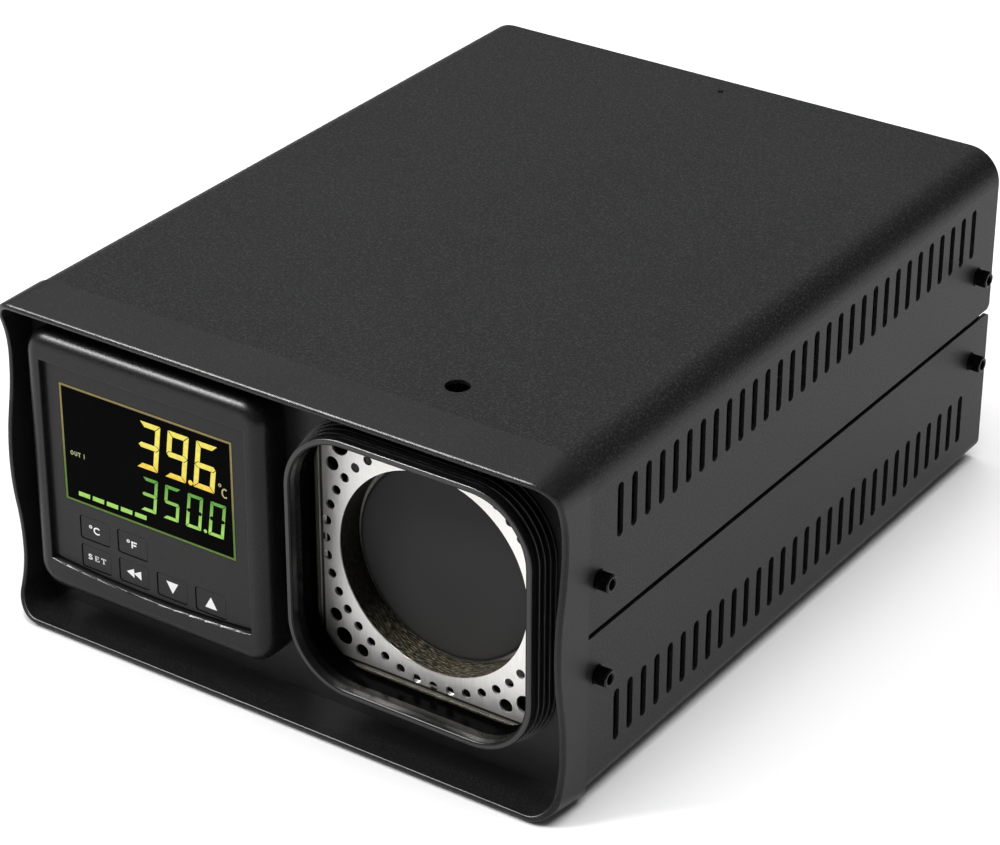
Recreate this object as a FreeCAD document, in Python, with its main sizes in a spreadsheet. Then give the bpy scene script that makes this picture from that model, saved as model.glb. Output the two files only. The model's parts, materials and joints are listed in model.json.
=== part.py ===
import FreeCAD, Part
import math
import os
import Sketcher
from types import SimpleNamespace

# Driving dimensions in millimetres. Set-backs are measured from the front rim, insets from the rear
# edge of the covers, and heights from the underside of the lower cover.
DIMS = {
    # Case
    "overall_depth": 260.0,
    "cover_width": 200.0,
    "cover_height": 109.5,
    "sheet_gauge": 1.2,
    "top_bend": 11.0,
    "bottom_bend": 4.5,
    "split_height": 52.9,
    "split_gap": 1.75,
    "cover_tip": 2.0,
    "seam_gap": 0.3,
    "slot_count": 30,
    "slot_width": 3.0,
    "slot_length": 17.3,
    "slot_setback": 33.2,
    "slot_inset": 16.55,
    "upper_slot_drop": 22.65,
    "lower_slot_height": 19.2,
    # Front frame
    "frame_depth": 17.5,
    "frame_proud": 0.3,
    "frame_hang": 1.8,
    "rim_proud": 0.15,
    "rim_drop": 1.3,
    "rim_hang": 2.3,
    "rim_corner": 8.0,
    "rim_foot_corner": 9.5,
    "rim_wall": 1.9,
    "rim_round": 1.0,
    "rim_inner_round": 0.4,
    "rim_lead": 0.83,
    "wave_hollow": 7.1,
    "wave_hump": 3.9,
    "wave_reach": 34.0,
    "panel_setback": 16.0,
    "panel_thickness": 2.5,
    "skirt_length": 11.5,
    "skirt_wall": 3.0,
    "skirt_gap": 0.25,
    "boss_size": 10.0,
    "boss_length": 9.0,
    "pillar_radius": 3.5,
    "pillar_height": 6.0,
    # Side screws
    "screw_front_setback": 23.0,
    "screw_rear_inset": 10.6,
    "upper_screw_rise": 16.4,
    "lower_screw_drop": 14.7,
    "screw_radius": 1.5,
    "screw_length": 8.0,
    "screw_head_radius": 2.75,
    "screw_head_height": 3.0,
    "screw_socket": 1.44,
    "screw_socket_depth": 1.6,
    "screw_edge": 0.3,
    "hole_clearance": 0.25,
    "insert_radius": 2.3,
    "insert_length": 6.0,
    "rivet_nut_radius": 3.4,
    "rivet_nut_length": 4.5,
    # Feet
    "foot_height": 3.0,
    "foot_radius": 7.0,
    "foot_side": 88.5,
    "foot_front_setback": 25.0,
    "foot_rear_inset": 24.0,
    "foot_recess": 3.4,
    "foot_web": 1.4,
    "small_screw_radius": 1.5,
    "small_head_radius": 2.8,
    "small_head_height": 1.2,
    "small_nut_radius": 3.18,
    "small_nut_height": 2.4,
    # Source seen through the collar
    "source_side": 46.3,
    "source_drop": 0.75,
    "collar_size": 85.4,
    "collar_corner": 21.0,
    "collar_setback": 5.8,
    "collar_lip": 2.2,
    "collar_wall": 2.1,
    "collar_ledge": 5.2,
    "collar_relief": 0.6,
    "collar_round": 0.6,
    "ridge_count": 4,
    "ridge_depth": 1.0,
    "ridge_step": 1.0,
    "ridge_share": 0.55,
    "spigot_size": 84.0,
    "spigot_corner": 20.0,
    "spigot_length": 2.4,
    "shield_setback": 18.9,
    "shield_size": 82.0,
    "shield_corner": 3.0,
    "shield_gauge": 0.8,
    "shield_step": 1.2,
    "shield_border": 2.2,
    "shield_flange": 6.5,
    "sleeve_radius": 33.2,
    "sleeve_depth": 9.6,
    "small_hole_count": 40,
    "small_hole_ring": 37.7,
    "small_hole_radius": 1.5,
    "corner_hole_place": 32.1,
    "corner_hole_radius": 3.0,
    "side_hole_near": 25.5,
    "side_hole_far": 34.85,
    "side_hole_radius": 2.25,
    "target_radius": 31.5,
    "target_setback": 27.4,
    "target_depth": 20.0,
    "probe_radius": 3.1,
    "probe_setback": 32.0,
    "probe_depth": 35.5,
    "probe_way": 4.5,
    "probe_hole": 3.75,
    "heater_thickness": 3.0,
    "clamp_thickness": 2.0,
    "heater_margin": 1.5,
    "standoff_length": 12.0,
    "standoff_radius": 5.0,
    "standoff_ring": 20.0,
    "bolt_radius": 2.0,
    "bolt_grip": 8.0,
    "bolt_head_radius": 3.5,
    "bolt_head_height": 4.0,
    "sensor_radius": 1.5,
    "sensor_depth": 10.0,
    "sensor_tail": 24.0,
    "sensor_side": 9.0,
    "jacket_radius": 41.0,
    "jacket_gap": 0.4,
    "jacket_setback": 31.0,
    "shield_fit": 0.1,
    "tab_width": 10.0,
    "tab_rise": 7.2,
    "tab_side": 30.0,
    # Controller
    "controller_side": 47.7,
    "controller_lift": 0.25,
    "bezel_width": 90.0,
    "bezel_rise": 88.8,
    "bezel_setback": 4.5,
    "bezel_corner": 8.5,
    "bezel_round": 4.8,
    "bezel_wall": 3.0,
    "bezel_face": 2.6,
    "gasket_thickness": 1.0,
    "recess_depth": 1.8,
    "recess_width": 77.0,
    "recess_top": 35.0,
    "recess_foot": 35.5,
    "recess_bow": 2.0,
    "recess_round": 0.4,
    "groove_width": 0.7,
    "groove_depth": 1.2,
    "window_width": 65.5,
    "window_rise": 40.2,
    "window_height": 8.7,
    "window_thickness": 2.0,
    "window_fit": 0.1,
    "module_margin": 2.5,
    "module_depth": 4.4,
    "key_width": 11.2,
    "key_rise": 7.8,
    "key_corner": 0.8,
    "key_pitch": 14.7,
    "key_side": 22.0,
    "key_row": 29.4,
    "key_row_gap": 10.0,
    "key_setback": 0.2,
    "key_round": 0.2,
    "key_gap": 0.2,
    "key_lip": 0.9,
    "key_lip_depth": 0.8,
    "key_stem": 1.4,
    "key_stem_radius": 1.6,
    "key_travel": 0.6,
    "switch_size": 6.0,
    "switch_height": 1.5,
    "board_width": 74.0,
    "board_rise": 72.0,
    "board_thickness": 1.6,
    "case_width": 80.0,
    "case_rise": 78.0,
    "case_depth": 70.0,
    "case_wall": 1.6,
    "case_fit": 0.4,
    "terminal_width": 60.0,
    "terminal_rise": 14.0,
    "terminal_depth": 10.0,
    "terminal_count": 10,
    "terminal_pitch": 5.6,
    "panel_clip_depth": 16.0,
    "panel_clip_rise": 18.0,
    "panel_clip_thickness": 4.0,
    # Rear panel
    "rear_inset": 5.5,
    "rear_gauge": 1.5,
    "rear_flange": 9.0,
    "rivet_radius": 0.6,
    "rivet_inset": 8.6,
    "rivet_head": 0.95,
    "rivet_head_height": 0.4,
    "rivet_length": 4.0,
    # Mains inlet with fuse drawer
    "inlet_inset": 48.0,
    "inlet_height": 36.0,
    "inlet_width": 50.0,
    "inlet_rise": 38.0,
    "inlet_corner": 4.0,
    "inlet_flange": 2.6,
    "inlet_body_width": 30.0,
    "inlet_body_rise": 34.0,
    "inlet_body_depth": 24.0,
    "inlet_screw_spacing": 40.0,
    "socket_width": 24.4,
    "socket_rise": 16.8,
    "socket_corner": 3.0,
    "socket_depth": 17.5,
    "socket_drop": 6.4,
    "blade_width": 2.0,
    "blade_rise": 4.0,
    "blade_length": 12.0,
    "blade_tail": 8.0,
    "blade_spacing": 14.0,
    "earth_lift": 4.0,
    "drawer_width": 23.0,
    "drawer_rise": 8.4,
    "drawer_depth": 17.0,
    "drawer_lift": 10.6,
    "drawer_gap": 0.3,
    "drawer_face": 1.6,
    "drawer_floor": 1.0,
    "drawer_wall": 0.9,
    "fuse_radius": 2.5,
    "fuse_length": 20.0,
    "fuse_pitch": 6.5,
    # Power switch
    "rocker_height": 78.0,
    "rocker_inset": 48.0,
    "rocker_frame_width": 15.0,
    "rocker_frame_rise": 21.0,
    "rocker_frame_depth": 1.6,
    "rocker_body_width": 12.8,
    "rocker_body_rise": 19.0,
    "rocker_body_depth": 14.0,
    "rocker_width": 10.2,
    "rocker_half": 8.0,
    "rocker_gap": 0.45,
    "rocker_dip": 2.0,
    "rocker_crest": 3.2,
    "rocker_foot": 4.5,
    "rocker_keel": 5.0,
    "rocker_edge": 0.5,
    "rocker_tilt": 10.0,
    "rocker_pin_radius": 1.0,
    "rocker_pin_gap": 0.06,
    "rocker_pivot": 0.7,
    # Fan
    "fan_side": 46.3,
    "fan_lift": 0.25,
    "fan_size": 60.0,
    "fan_corner": 4.0,
    "fan_depth": 15.0,
    "fan_bore": 28.5,
    "fan_hole_spacing": 50.0,
    "fan_hub": 13.0,
    "fan_hub_depth": 3.0,
    "fan_strut": 3.0,
    "fan_shaft": 1.5,
    "fan_shaft_gap": 0.06,
    "rotor_hub": 12.4,
    "rotor_depth": 9.5,
    "rotor_gap": 0.8,
    "blade_count": 7,
    "fan_blade_tip": 27.2,
    "fan_blade_chord": 7.0,
    "fan_blade_sweep": 3.6,
    "fan_blade_thickness": 1.2,
    "guard_wire": 0.8,
    "guard_spoke": 0.7,
    "guard_lift": 1.0,
    "guard_ring_first": 9.0,
    "guard_ring_pitch": 6.6,
    "guard_ring_count": 4,
    "guard_eye": 2.6,
    # Relay on the floor of the case
    "relay_width": 45.0,
    "relay_depth": 58.0,
    "relay_rise": 23.0,
    "relay_base": 3.0,
    "relay_side": 30.0,
    "relay_inset": 90.0,
    "relay_step": 9.0,
    "relay_shelf": 12.0,
    "relay_hole_spacing": 47.5,
    # Leads
    "lead_radius": 1.2,
    "lead_bend": 6.0,
}

SIDES = (1, -1)
QUARTERS = ((1, 1), (-1, 1), (-1, -1), (1, -1))

doc = FreeCAD.newDocument("infrared_calibrator")
sheet = doc.addObject("Spreadsheet::Sheet", "dims")
for row, (dim_name, dim_value) in enumerate(DIMS.items(), start=1):
    sheet.set(f"A{row}", dim_name)
    sheet.set(f"B{row}", str(dim_value))
    sheet.setAlias(f"B{row}", dim_name)
doc.recompute()


class Size:
    """A length with the sheet rule that it comes from and its present value."""

    def __init__(self, rule, value):
        self.rule = rule
        self.value = value

    def joined(self, sign, other, value):
        return Size(f"({self.rule} {sign} {other.rule})", value)

    def __add__(self, other):
        other = size(other)
        return self.joined("+", other, self.value + other.value)

    def __sub__(self, other):
        other = size(other)
        return self.joined("-", other, self.value - other.value)

    def __mul__(self, other):
        other = size(other)
        return self.joined("*", other, self.value * other.value)

    def __truediv__(self, other):
        other = size(other)
        return self.joined("/", other, self.value / other.value)

    def __neg__(self):
        return self * -1

    def __rsub__(self, other):
        return size(other) - self

    __radd__ = __add__
    __rmul__ = __mul__


def size(value):
    """The value as a Size, so that plain numbers and sheet sizes mix."""
    if isinstance(value, Size):
        return value
    return Size(repr(float(value)), float(value))


def link(item, path, value):
    """Binds a property to the sheet rule of a size."""
    item.setExpression(path, size(value).rule)


d = SimpleNamespace(**{name: Size(f"dims.{name}", float(value)) for name, value in DIMS.items()})

# Places that several pieces share
front = -d.overall_depth / 2
rear = d.overall_depth / 2
seam = front + d.frame_depth
cover_front = seam + d.seam_gap
panel_front = front + d.panel_setback
panel_back = panel_front + d.panel_thickness
base = d.foot_height
roof = base + d.cover_height
mid_height = base + d.cover_height / 2
middle = (size(0), mid_height)
split = base + d.split_height
cover_half = d.cover_width / 2
inside_width = d.cover_width - 2 * d.sheet_gauge
inside_height = d.cover_height - 2 * d.sheet_gauge
lining_half = cover_half - d.sheet_gauge - d.skirt_gap
source = (d.source_side, mid_height - d.source_drop)
housing_size = d.shield_size + 2 * (d.shield_fit + d.sheet_gauge)
controller = (-d.controller_side, mid_height + d.controller_lift)
rear_front = rear - d.rear_inset
rear_back = rear_front + d.rear_gauge
rim_width = d.cover_width + 2 * d.rim_proud
rim_height = d.cover_height - d.rim_drop + d.rim_hang
screw_front = front + d.screw_front_setback
screw_rear = rear - d.screw_rear_inset
upper_screw = split + d.upper_screw_rise
lower_screw = split - d.lower_screw_drop
screw_places = [
    (depth, height) for depth in (screw_front, screw_rear) for height in (upper_screw, lower_screw)
]
front_foot_places = [(side * d.foot_side, front + d.foot_front_setback) for side in SIDES]
rear_foot_places = [(side * d.foot_side, rear - d.foot_rear_inset) for side in SIDES]
foot_places = front_foot_places + rear_foot_places
slot_front = front + d.slot_setback
slot_pitch = (rear - d.slot_inset - slot_front) / (d.slot_count - 1)
rivet_place = (size(0), rear - d.rivet_inset)


def constrain(sketch, kind, *where, value=None):
    """Adds a sketch constraint, bound to the sheet where it has a value."""
    if value is None:
        sketch.addConstraint(Sketcher.Constraint(kind, *where))
        return
    value = size(value)
    index = sketch.addConstraint(Sketcher.Constraint(kind, *where, value.value))
    sketch.setExpression(f"Constraints[{index}]", value.rule)


def flat(x, y):
    """A sketch point at the present value of two sizes."""
    return FreeCAD.Vector(size(x).value, size(y).value, 0)


def bent(start, stop, radius):
    """The lesser arc between two points, with its centre on the left if the radius is positive."""
    chord = stop - start
    left = FreeCAD.Vector(-chord.y, chord.x, 0).normalize()
    rise = abs(radius) - math.sqrt(radius**2 - (chord.Length / 2) ** 2)
    crown = (start + stop) * 0.5 - left * math.copysign(rise, radius)
    if radius > 0:
        return Part.Arc(start, crown, stop)
    return Part.Arc(stop, crown, start)


def outline(*corners):
    """Draws a closed outline through corners (x, y). A third value bends the side after its corner."""

    def draw(sketch):
        ends = []
        for index, corner in enumerate(corners):
            following = corners[(index + 1) % len(corners)]
            start, stop = flat(*corner[:2]), flat(*following[:2])
            if len(corner) == 2:
                edge = sketch.addGeometry(Part.LineSegment(start, stop))
                ends.append(((edge, 1), (edge, 2)))
                continue
            radius = size(corner[2])
            edge = sketch.addGeometry(bent(start, stop, radius.value))
            leftward = radius.value > 0
            ends.append(((edge, 1), (edge, 2)) if leftward else ((edge, 2), (edge, 1)))
            constrain(sketch, "Radius", edge, value=radius if leftward else -radius)
        for index, corner in enumerate(corners):
            constrain(sketch, "Coincident", *ends[index - 1][1], *ends[index][0])
            constrain(sketch, "DistanceX", -1, 1, *ends[index][0], value=corner[0])
            constrain(sketch, "DistanceY", -1, 1, *ends[index][0], value=corner[1])

    return draw


def rectangle(width, height):
    """Draws a rectangle centred on the sketch."""
    x, y = size(width) / 2, size(height) / 2
    return outline((-x, -y), (x, -y), (x, y), (-x, y))


def rounded(width, height, radius, foot_radius=None):
    """Draws a centred rectangle with round corners. The lower two can have their own radius."""
    width, height, radius = size(width), size(height), size(radius)
    foot_radius = radius if foot_radius is None else size(foot_radius)

    def draw(sketch):
        x, y, r, f = (value.value for value in (width / 2, height / 2, radius, foot_radius))
        sides = (
            (flat(f - x, -y), flat(x - f, -y)),
            (flat(x, f - y), flat(x, y - r)),
            (flat(x - r, y), flat(r - x, y)),
            (flat(-x, y - r), flat(-x, f - y)),
        )
        corners = ((x - f, f - y, f), (x - r, y - r, r), (r - x, y - r, r), (f - x, f - y, f))
        for turn, (side, corner) in enumerate(zip(sides, corners)):
            sketch.addGeometry(Part.LineSegment(*side))
            circle = Part.Circle(flat(*corner[:2]), FreeCAD.Vector(0, 0, 1), corner[2])
            quarter = math.pi / 2
            sketch.addGeometry(Part.ArcOfCircle(circle, (turn - 1) * quarter, turn * quarter))
        for edge in range(8):
            constrain(sketch, "Tangent", edge, 2, (edge + 1) % 8, 1)
        for level, upright in ((0, 2), (4, 6)):
            constrain(sketch, "Horizontal", level)
            constrain(sketch, "Vertical", upright)
        constrain(sketch, "Equal", 1, 7)
        constrain(sketch, "Equal", 3, 5)
        constrain(sketch, "Radius", 1, value=foot_radius)
        constrain(sketch, "Radius", 3, value=radius)
        constrain(sketch, "DistanceX", -1, 1, 2, 1, value=width / 2)
        constrain(sketch, "DistanceX", 6, 1, 2, 1, value=width)
        constrain(sketch, "DistanceY", -1, 1, 4, 1, value=height / 2)
        constrain(sketch, "DistanceY", 0, 1, 4, 1, value=height)

    return draw


def disc(radius, x=0, y=0):
    """Draws a circle at a place on the sketch."""
    return discs((radius, x, y))


def discs(*circles):
    """Draws circles given as (radius, x, y)."""

    def draw(sketch):
        for radius, x, y in circles:
            circle = Part.Circle(flat(x, y), FreeCAD.Vector(0, 0, 1), size(radius).value)
            edge = sketch.addGeometry(circle)
            constrain(sketch, "DistanceX", -1, 1, edge, 3, value=x)
            constrain(sketch, "DistanceY", -1, 1, edge, 3, value=y)
            constrain(sketch, "Radius", edge, value=radius)

    return draw


def upright_slot(length, width):
    """Draws a slot with round ends, centred on the sketch."""
    half, run = size(width) / 2, (size(length) - width) / 2
    return outline((half, -run), (half, run, half * 1.0001), (-half, run), (-half, -run, half * 1.0001))


class Body:
    """A body built from outlines that are padded or cut along an axis."""

    PLANES = {"x": ("YZ_Plane", 1), "y": ("XZ_Plane", -1), "z": ("XY_Plane", 1)}

    def __init__(self, name):
        self.item = doc.addObject("PartDesign::Body", name)
        self.steps = 0

    def make(self, kind):
        self.steps += 1
        return self.item.newObject(kind, f"{self.item.Name}_{self.steps}")

    def sketch(self, axis, start, centre, draw):
        """A sketch square to an axis, with its origin at a start along it and a centre across it."""
        role, facing = self.PLANES[axis]
        sketch = self.make("Sketcher::SketchObject")
        plane = next(feature for feature in self.item.Origin.OriginFeatures if feature.Role == role)
        sketch.AttachmentSupport = [(plane, "")]
        sketch.MapMode = "FlatFace"
        for name, value in zip("xyz", (*centre, facing * size(start))):
            link(sketch, f"AttachmentOffset.Base.{name}", value)
        draw(sketch)
        return sketch

    def shaped(self, kind, axis, span, centre, draw, backward):
        sketch = self.sketch(axis, span[0], centre, draw)
        feature = self.make(kind)
        feature.Profile = sketch
        link(feature, "Length", span[1] - span[0])
        feature.Reversed = backward
        return feature

    def add(self, axis, span, centre, draw):
        """Pads an outline over a span of an axis."""
        return self.shaped("PartDesign::Pad", axis, span, centre, draw, axis == "y")

    def remove(self, axis, span, centre, draw):
        """Cuts an outline over a span of an axis."""
        return self.shaped("PartDesign::Pocket", axis, span, centre, draw, axis != "y")

    def taper(self, axis, first, second):
        """Lofts between two outlines, each given as (start, centre, draw)."""
        start, end = (self.sketch(axis, *section) for section in (first, second))
        loft = self.make("PartDesign::AdditiveLoft")
        loft.Profile = start
        loft.Sections = [end]
        loft.Ruled = True

    def in_row(self, feature, gap, count, direction="H_Axis"):
        """Repeats a feature in a row along its own sketch's level or upright axis."""
        pattern = self.make("PartDesign::LinearPattern")
        pattern.Originals = [feature]
        pattern.Direction = (feature.Profile[0], [direction])
        link(pattern, "Length", gap * (size(count) - 1))
        link(pattern, "Occurrences", count)
        self.item.Tip = pattern

    def in_ring(self, feature, hub, count):
        """Repeats a feature round the normal of a sketch at the hub."""
        pattern = self.make("PartDesign::PolarPattern")
        pattern.Originals = [feature]
        pattern.Axis = (hub, ["N_Axis"])
        link(pattern, "Occurrences", count)
        self.item.Tip = pattern

    def round(self, radius, pick):
        """Fillets the edges that a test picks."""
        doc.recompute()
        tip = self.item.Tip
        edges = enumerate(tip.Shape.Edges, start=1)
        names = [f"Edge{index}" for index, edge in edges if pick(edge.BoundBox)]
        fillet = self.make("PartDesign::Fillet")
        fillet.Base = (tip, names)
        link(fillet, "Radius", radius)


def near(value, target):
    return abs(value - size(target).value) < 1e-4


AXIS_TURNS = {
    "x": FreeCAD.Rotation(FreeCAD.Vector(0, 1, 0), 90),
    "y": FreeCAD.Rotation(FreeCAD.Vector(1, 0, 0), -90),
    "z": FreeCAD.Rotation(),
}


def place(item, axis, at, start):
    """Stands a primitive along an axis, at a place across it and a start along it."""
    item.Placement = FreeCAD.Placement(FreeCAD.Vector(), AXIS_TURNS[axis])
    across = iter(at)
    for name in "xyz":
        link(item, f"Placement.Base.{name}", start if name == axis else next(across))


def rod(name, axis, at, span, radius):
    """A cylinder over a span of an axis."""
    item = doc.addObject("Part::Cylinder", name)
    link(item, "Radius", radius)
    link(item, "Height", span[1] - span[0])
    place(item, axis, at, span[0])
    return item


def hexagon(name, axis, at, span, radius):
    """A six-sided prism over a span of an axis, sized over its corners."""
    item = doc.addObject("Part::Prism", name)
    item.Polygon = 6
    link(item, "Circumradius", radius)
    link(item, "Height", span[1] - span[0])
    place(item, axis, at, span[0])
    return item


def block(name, x, y, z):
    """A box between low and high limits on each axis."""
    item = doc.addObject("Part::Box", name)
    for prop, axis, limits in zip(("Length", "Width", "Height"), "xyz", (x, y, z)):
        link(item, prop, size(limits[1]) - limits[0])
        link(item, f"Placement.Base.{axis}", limits[0])
    return item


def fuse(name, *items):
    item = doc.addObject("Part::MultiFuse", name)
    item.Shapes = list(items)
    return item


def cut(name, stock, *tools):
    item = doc.addObject("Part::Cut", name)
    item.Base = stock
    item.Tool = tools[0] if len(tools) == 1 else fuse(f"{name}_tools", *tools)
    return item


def group(name, items):
    """Separate like pieces that share one name."""
    item = doc.addObject("Part::Compound", name)
    item.Links = list(items)
    return item


def tube(name, axis, at, span, outer, inner):
    """A round sleeve over a span of an axis."""
    bore = rod(f"{name}_bore", axis, at, span, inner)
    return cut(name, rod(f"{name}_outer", axis, at, span, outer), bore)


def reach(seat, way, start, stop):
    """The span from start to stop beyond a seat, on the side that way points to."""
    if way > 0:
        return (seat + start, seat + stop)
    return (seat - stop, seat - start)


def cone(name, axis, at, span, radii):
    """A cone cut off at both ends, over a span of an axis, from the first radius to the second."""
    item = doc.addObject("Part::Cone", name)
    link(item, "Radius1", radii[0])
    link(item, "Radius2", radii[1])
    link(item, "Height", span[1] - span[0])
    place(item, axis, at, span[0])
    return item


def headed(name, axis, at, seat, way, head, shank, drive=None):
    """A screw on a seat. Head is (radius, height), shank (radius, length), drive (radius, depth)."""
    head_radius, head_height = head
    shank_radius, length = shank
    shoulder = head_height - d.screw_edge
    radii = (head_radius, head_radius - d.screw_edge)[::way]
    bolt = fuse(
        f"{name}_bolt" if drive else name,
        rod(f"{name}_head", axis, at, reach(seat, way, size(0), shoulder), head_radius),
        cone(f"{name}_edge", axis, at, reach(seat, way, shoulder, head_height), radii),
        rod(f"{name}_shank", axis, at, reach(seat, way, -length, size(0)), shank_radius),
    )
    if not drive:
        return bolt
    drive_radius, depth = drive
    span = reach(seat, way, head_height - depth, size(head_height))
    return cut(name, bolt, hexagon(f"{name}_drive", axis, at, span, drive_radius))


def square_places(centre, spacing):
    """The four corners of a square about a centre."""
    return [(centre[0] + x * spacing / 2, centre[1] + z * spacing / 2) for x, z in QUARTERS]


# Front frame: a hood with a waved rim, a set-back panel and a skirt that plugs into the covers

# The rim is cut a little ahead of the front, because rounding its edge takes that much off
rim_start = front - d.rim_lead
frame_rim = (size(0), base - d.rim_hang + rim_height / 2)
frame_height = d.cover_height + d.frame_proud + d.frame_hang
frame_seam = (size(0), base - d.frame_hang + frame_height / 2)
skirt_end = seam + d.skirt_length
skirt_width = inside_width - 2 * d.skirt_gap
skirt_height = inside_height - 2 * d.skirt_gap
skirt_corner = d.top_bend - d.sheet_gauge - d.skirt_gap
skirt_foot_corner = d.bottom_bend - d.sheet_gauge - d.skirt_gap
skirt_floor = base + d.sheet_gauge + d.skirt_gap + d.skirt_wall
pillar_end = panel_back + d.pillar_height
pillar_places = [
    (source[0] + x * d.tab_side, source[1] + z * (housing_size + d.tab_rise) / 2) for x, z in QUARTERS
]


def wave():
    """The side view of what is cut off in front of the rim, from its front line to the wave."""
    half, outside = rim_height / 2, rim_height
    hollow, hump, high = d.wave_hollow, d.wave_hump, d.wave_reach
    ease, mid = high / 2, (hollow + hump) / 2
    end_bend = (hollow * hollow + (half - high) * (half - high)) / (2 * hollow)
    sway = (hollow - hump) / 2
    bend = (sway * sway + ease * ease) / (2 * sway)
    ahead = -d.panel_setback
    return outline(
        (ahead, -outside),
        (size(0), -outside),
        (size(0), -half, end_bend),
        (hollow, -high, bend),
        (mid, -ease, -bend),
        (hump, size(0), -bend),
        (mid, ease, bend),
        (hollow, high, end_bend),
        (size(0), half),
        (size(0), outside),
        (ahead, outside),
    )


def on_rim(box):
    """Whether an edge lies on the waved front of the rim."""
    return box.YMax < (rim_start + d.wave_hollow).value + 1e-4


def outside_of_rim(box):
    """Whether an edge runs round the outside of the rim, not round its opening."""
    limit = (rim_width - d.rim_wall).value / 2
    rise = (rim_height - d.rim_wall).value / 2
    centre = frame_rim[1].value
    sideways = max(abs(box.XMin), abs(box.XMax)) > limit
    return sideways or box.ZMax > centre + rise or box.ZMin < centre - rise


def front_frame():
    piece = Body("front_frame")
    frame_width = d.cover_width + 2 * d.frame_proud
    piece.taper(
        "y",
        (rim_start, frame_rim, rounded(rim_width, rim_height, d.rim_corner, d.rim_foot_corner)),
        (seam, frame_seam, rounded(frame_width, frame_height, d.top_bend, d.bottom_bend)),
    )
    skirt = rounded(skirt_width, skirt_height, skirt_corner, skirt_foot_corner)
    piece.add("y", (seam, skirt_end), middle, skirt)
    recess = [side - 2 * d.rim_wall for side in (rim_width, rim_height)]
    corners = [corner - d.rim_wall for corner in (d.rim_corner, d.rim_foot_corner)]
    piece.remove("y", (rim_start, panel_front), frame_rim, rounded(*recess, *corners))
    hollow = [side - 2 * d.skirt_wall for side in (skirt_width, skirt_height)]
    corners = (skirt_corner - d.skirt_wall, skirt_foot_corner)
    piece.remove("y", (panel_back, skirt_end), middle, rounded(*hollow, *corners))
    piece.remove("x", (-frame_width / 2, frame_width / 2), (rim_start, frame_rim[1]), wave())
    piece.round(d.rim_inner_round, lambda box: on_rim(box) and not outside_of_rim(box))
    piece.round(d.rim_round, lambda box: on_rim(box) and outside_of_rim(box))
    opening = [d.spigot_size + 2 * d.case_fit] * 2
    piece.remove("y", (panel_front, panel_back), source, rounded(*opening, d.spigot_corner + d.case_fit))
    cutout = (d.case_width + 2 * d.case_fit, d.case_rise + 2 * d.case_fit)
    piece.remove("y", (panel_front, panel_back), controller, rectangle(*cutout))
    for place_yz in screw_places[:2]:
        for side in SIDES:
            boss = reach(side * lining_half, -side, size(0), d.boss_length)
            hole = reach(side * lining_half, -side, size(0), d.insert_length + d.screw_radius)
            piece.add("x", boss, place_yz, rectangle(d.boss_size, d.boss_size))
            piece.remove("x", hole, place_yz, disc(d.insert_radius))
    for place_xz in pillar_places:
        pillar = (panel_back, pillar_end)
        piece.add("y", pillar, place_xz, disc(d.pillar_radius))
        piece.remove("y", pillar, place_xz, disc(d.small_screw_radius))
    for at in front_foot_places:
        skirt_web = (skirt_floor - d.skirt_wall, skirt_floor)
        piece.remove("z", skirt_web, at, disc(d.small_screw_radius + d.hole_clearance))
    return piece.item


# Covers: two bent sheets that meet along a line on each side

cover_section = {
    "top_cover": (d.top_bend, roof - d.upper_slot_drop, upper_screw),
    "bottom_cover": (d.bottom_bend, base + d.lower_slot_height, lower_screw),
}


def cover(name):
    """A bent sheet with its vent slots and side holes, before the half beyond the split is cut off."""
    bend, slot_height, screw_height = cover_section[name]
    piece = Body(name)
    piece.add("y", (cover_front, rear), middle, rounded(d.cover_width, d.cover_height, bend))
    inside = rounded(inside_width, inside_height, bend - d.sheet_gauge)
    piece.remove("y", (cover_front, rear), middle, inside)
    across = (-cover_half, cover_half)
    lift = d.split_gap / 2
    if name == "top_cover":
        beyond = (base, split + lift)
    else:
        beyond = (split - lift, roof)
    run = (size(0), (cover_front + rear) / 2)
    piece.remove("z", beyond, run, rectangle(d.cover_width, rear - cover_front))
    edge = beyond[1] if name == "top_cover" else beyond[0]
    piece.round(d.cover_tip, lambda box: near(box.YMin, rear) and near(box.YMax, rear)
                and near(box.ZMin, edge) and near(box.ZMax, edge))
    slot_place = (slot_front, slot_height)
    slot = piece.remove("x", across, slot_place, upright_slot(d.slot_length, d.slot_width))
    piece.in_row(slot, slot_pitch, d.slot_count)
    hole_place = (screw_front, screw_height)
    hole = piece.remove("x", across, hole_place, disc(d.screw_radius + d.hole_clearance))
    piece.in_row(hole, screw_rear - screw_front, 2)
    return piece


def top_cover():
    piece = cover("top_cover")
    sheet_top = (roof - d.sheet_gauge, roof)
    piece.remove("z", sheet_top, probe, disc(d.probe_hole))
    piece.remove("z", sheet_top, rivet_place, disc(d.rivet_radius))
    return piece.item


def bottom_cover():
    piece = cover("bottom_cover")
    sheet_floor = (base, base + d.sheet_gauge)
    for foot_place in foot_places:
        piece.remove("z", sheet_floor, foot_place, disc(d.small_screw_radius + d.hole_clearance))
    for relay_place in relay_screw_places:
        piece.remove("z", sheet_floor, relay_place, disc(d.small_screw_radius + d.hole_clearance))
    return piece.item


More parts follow.
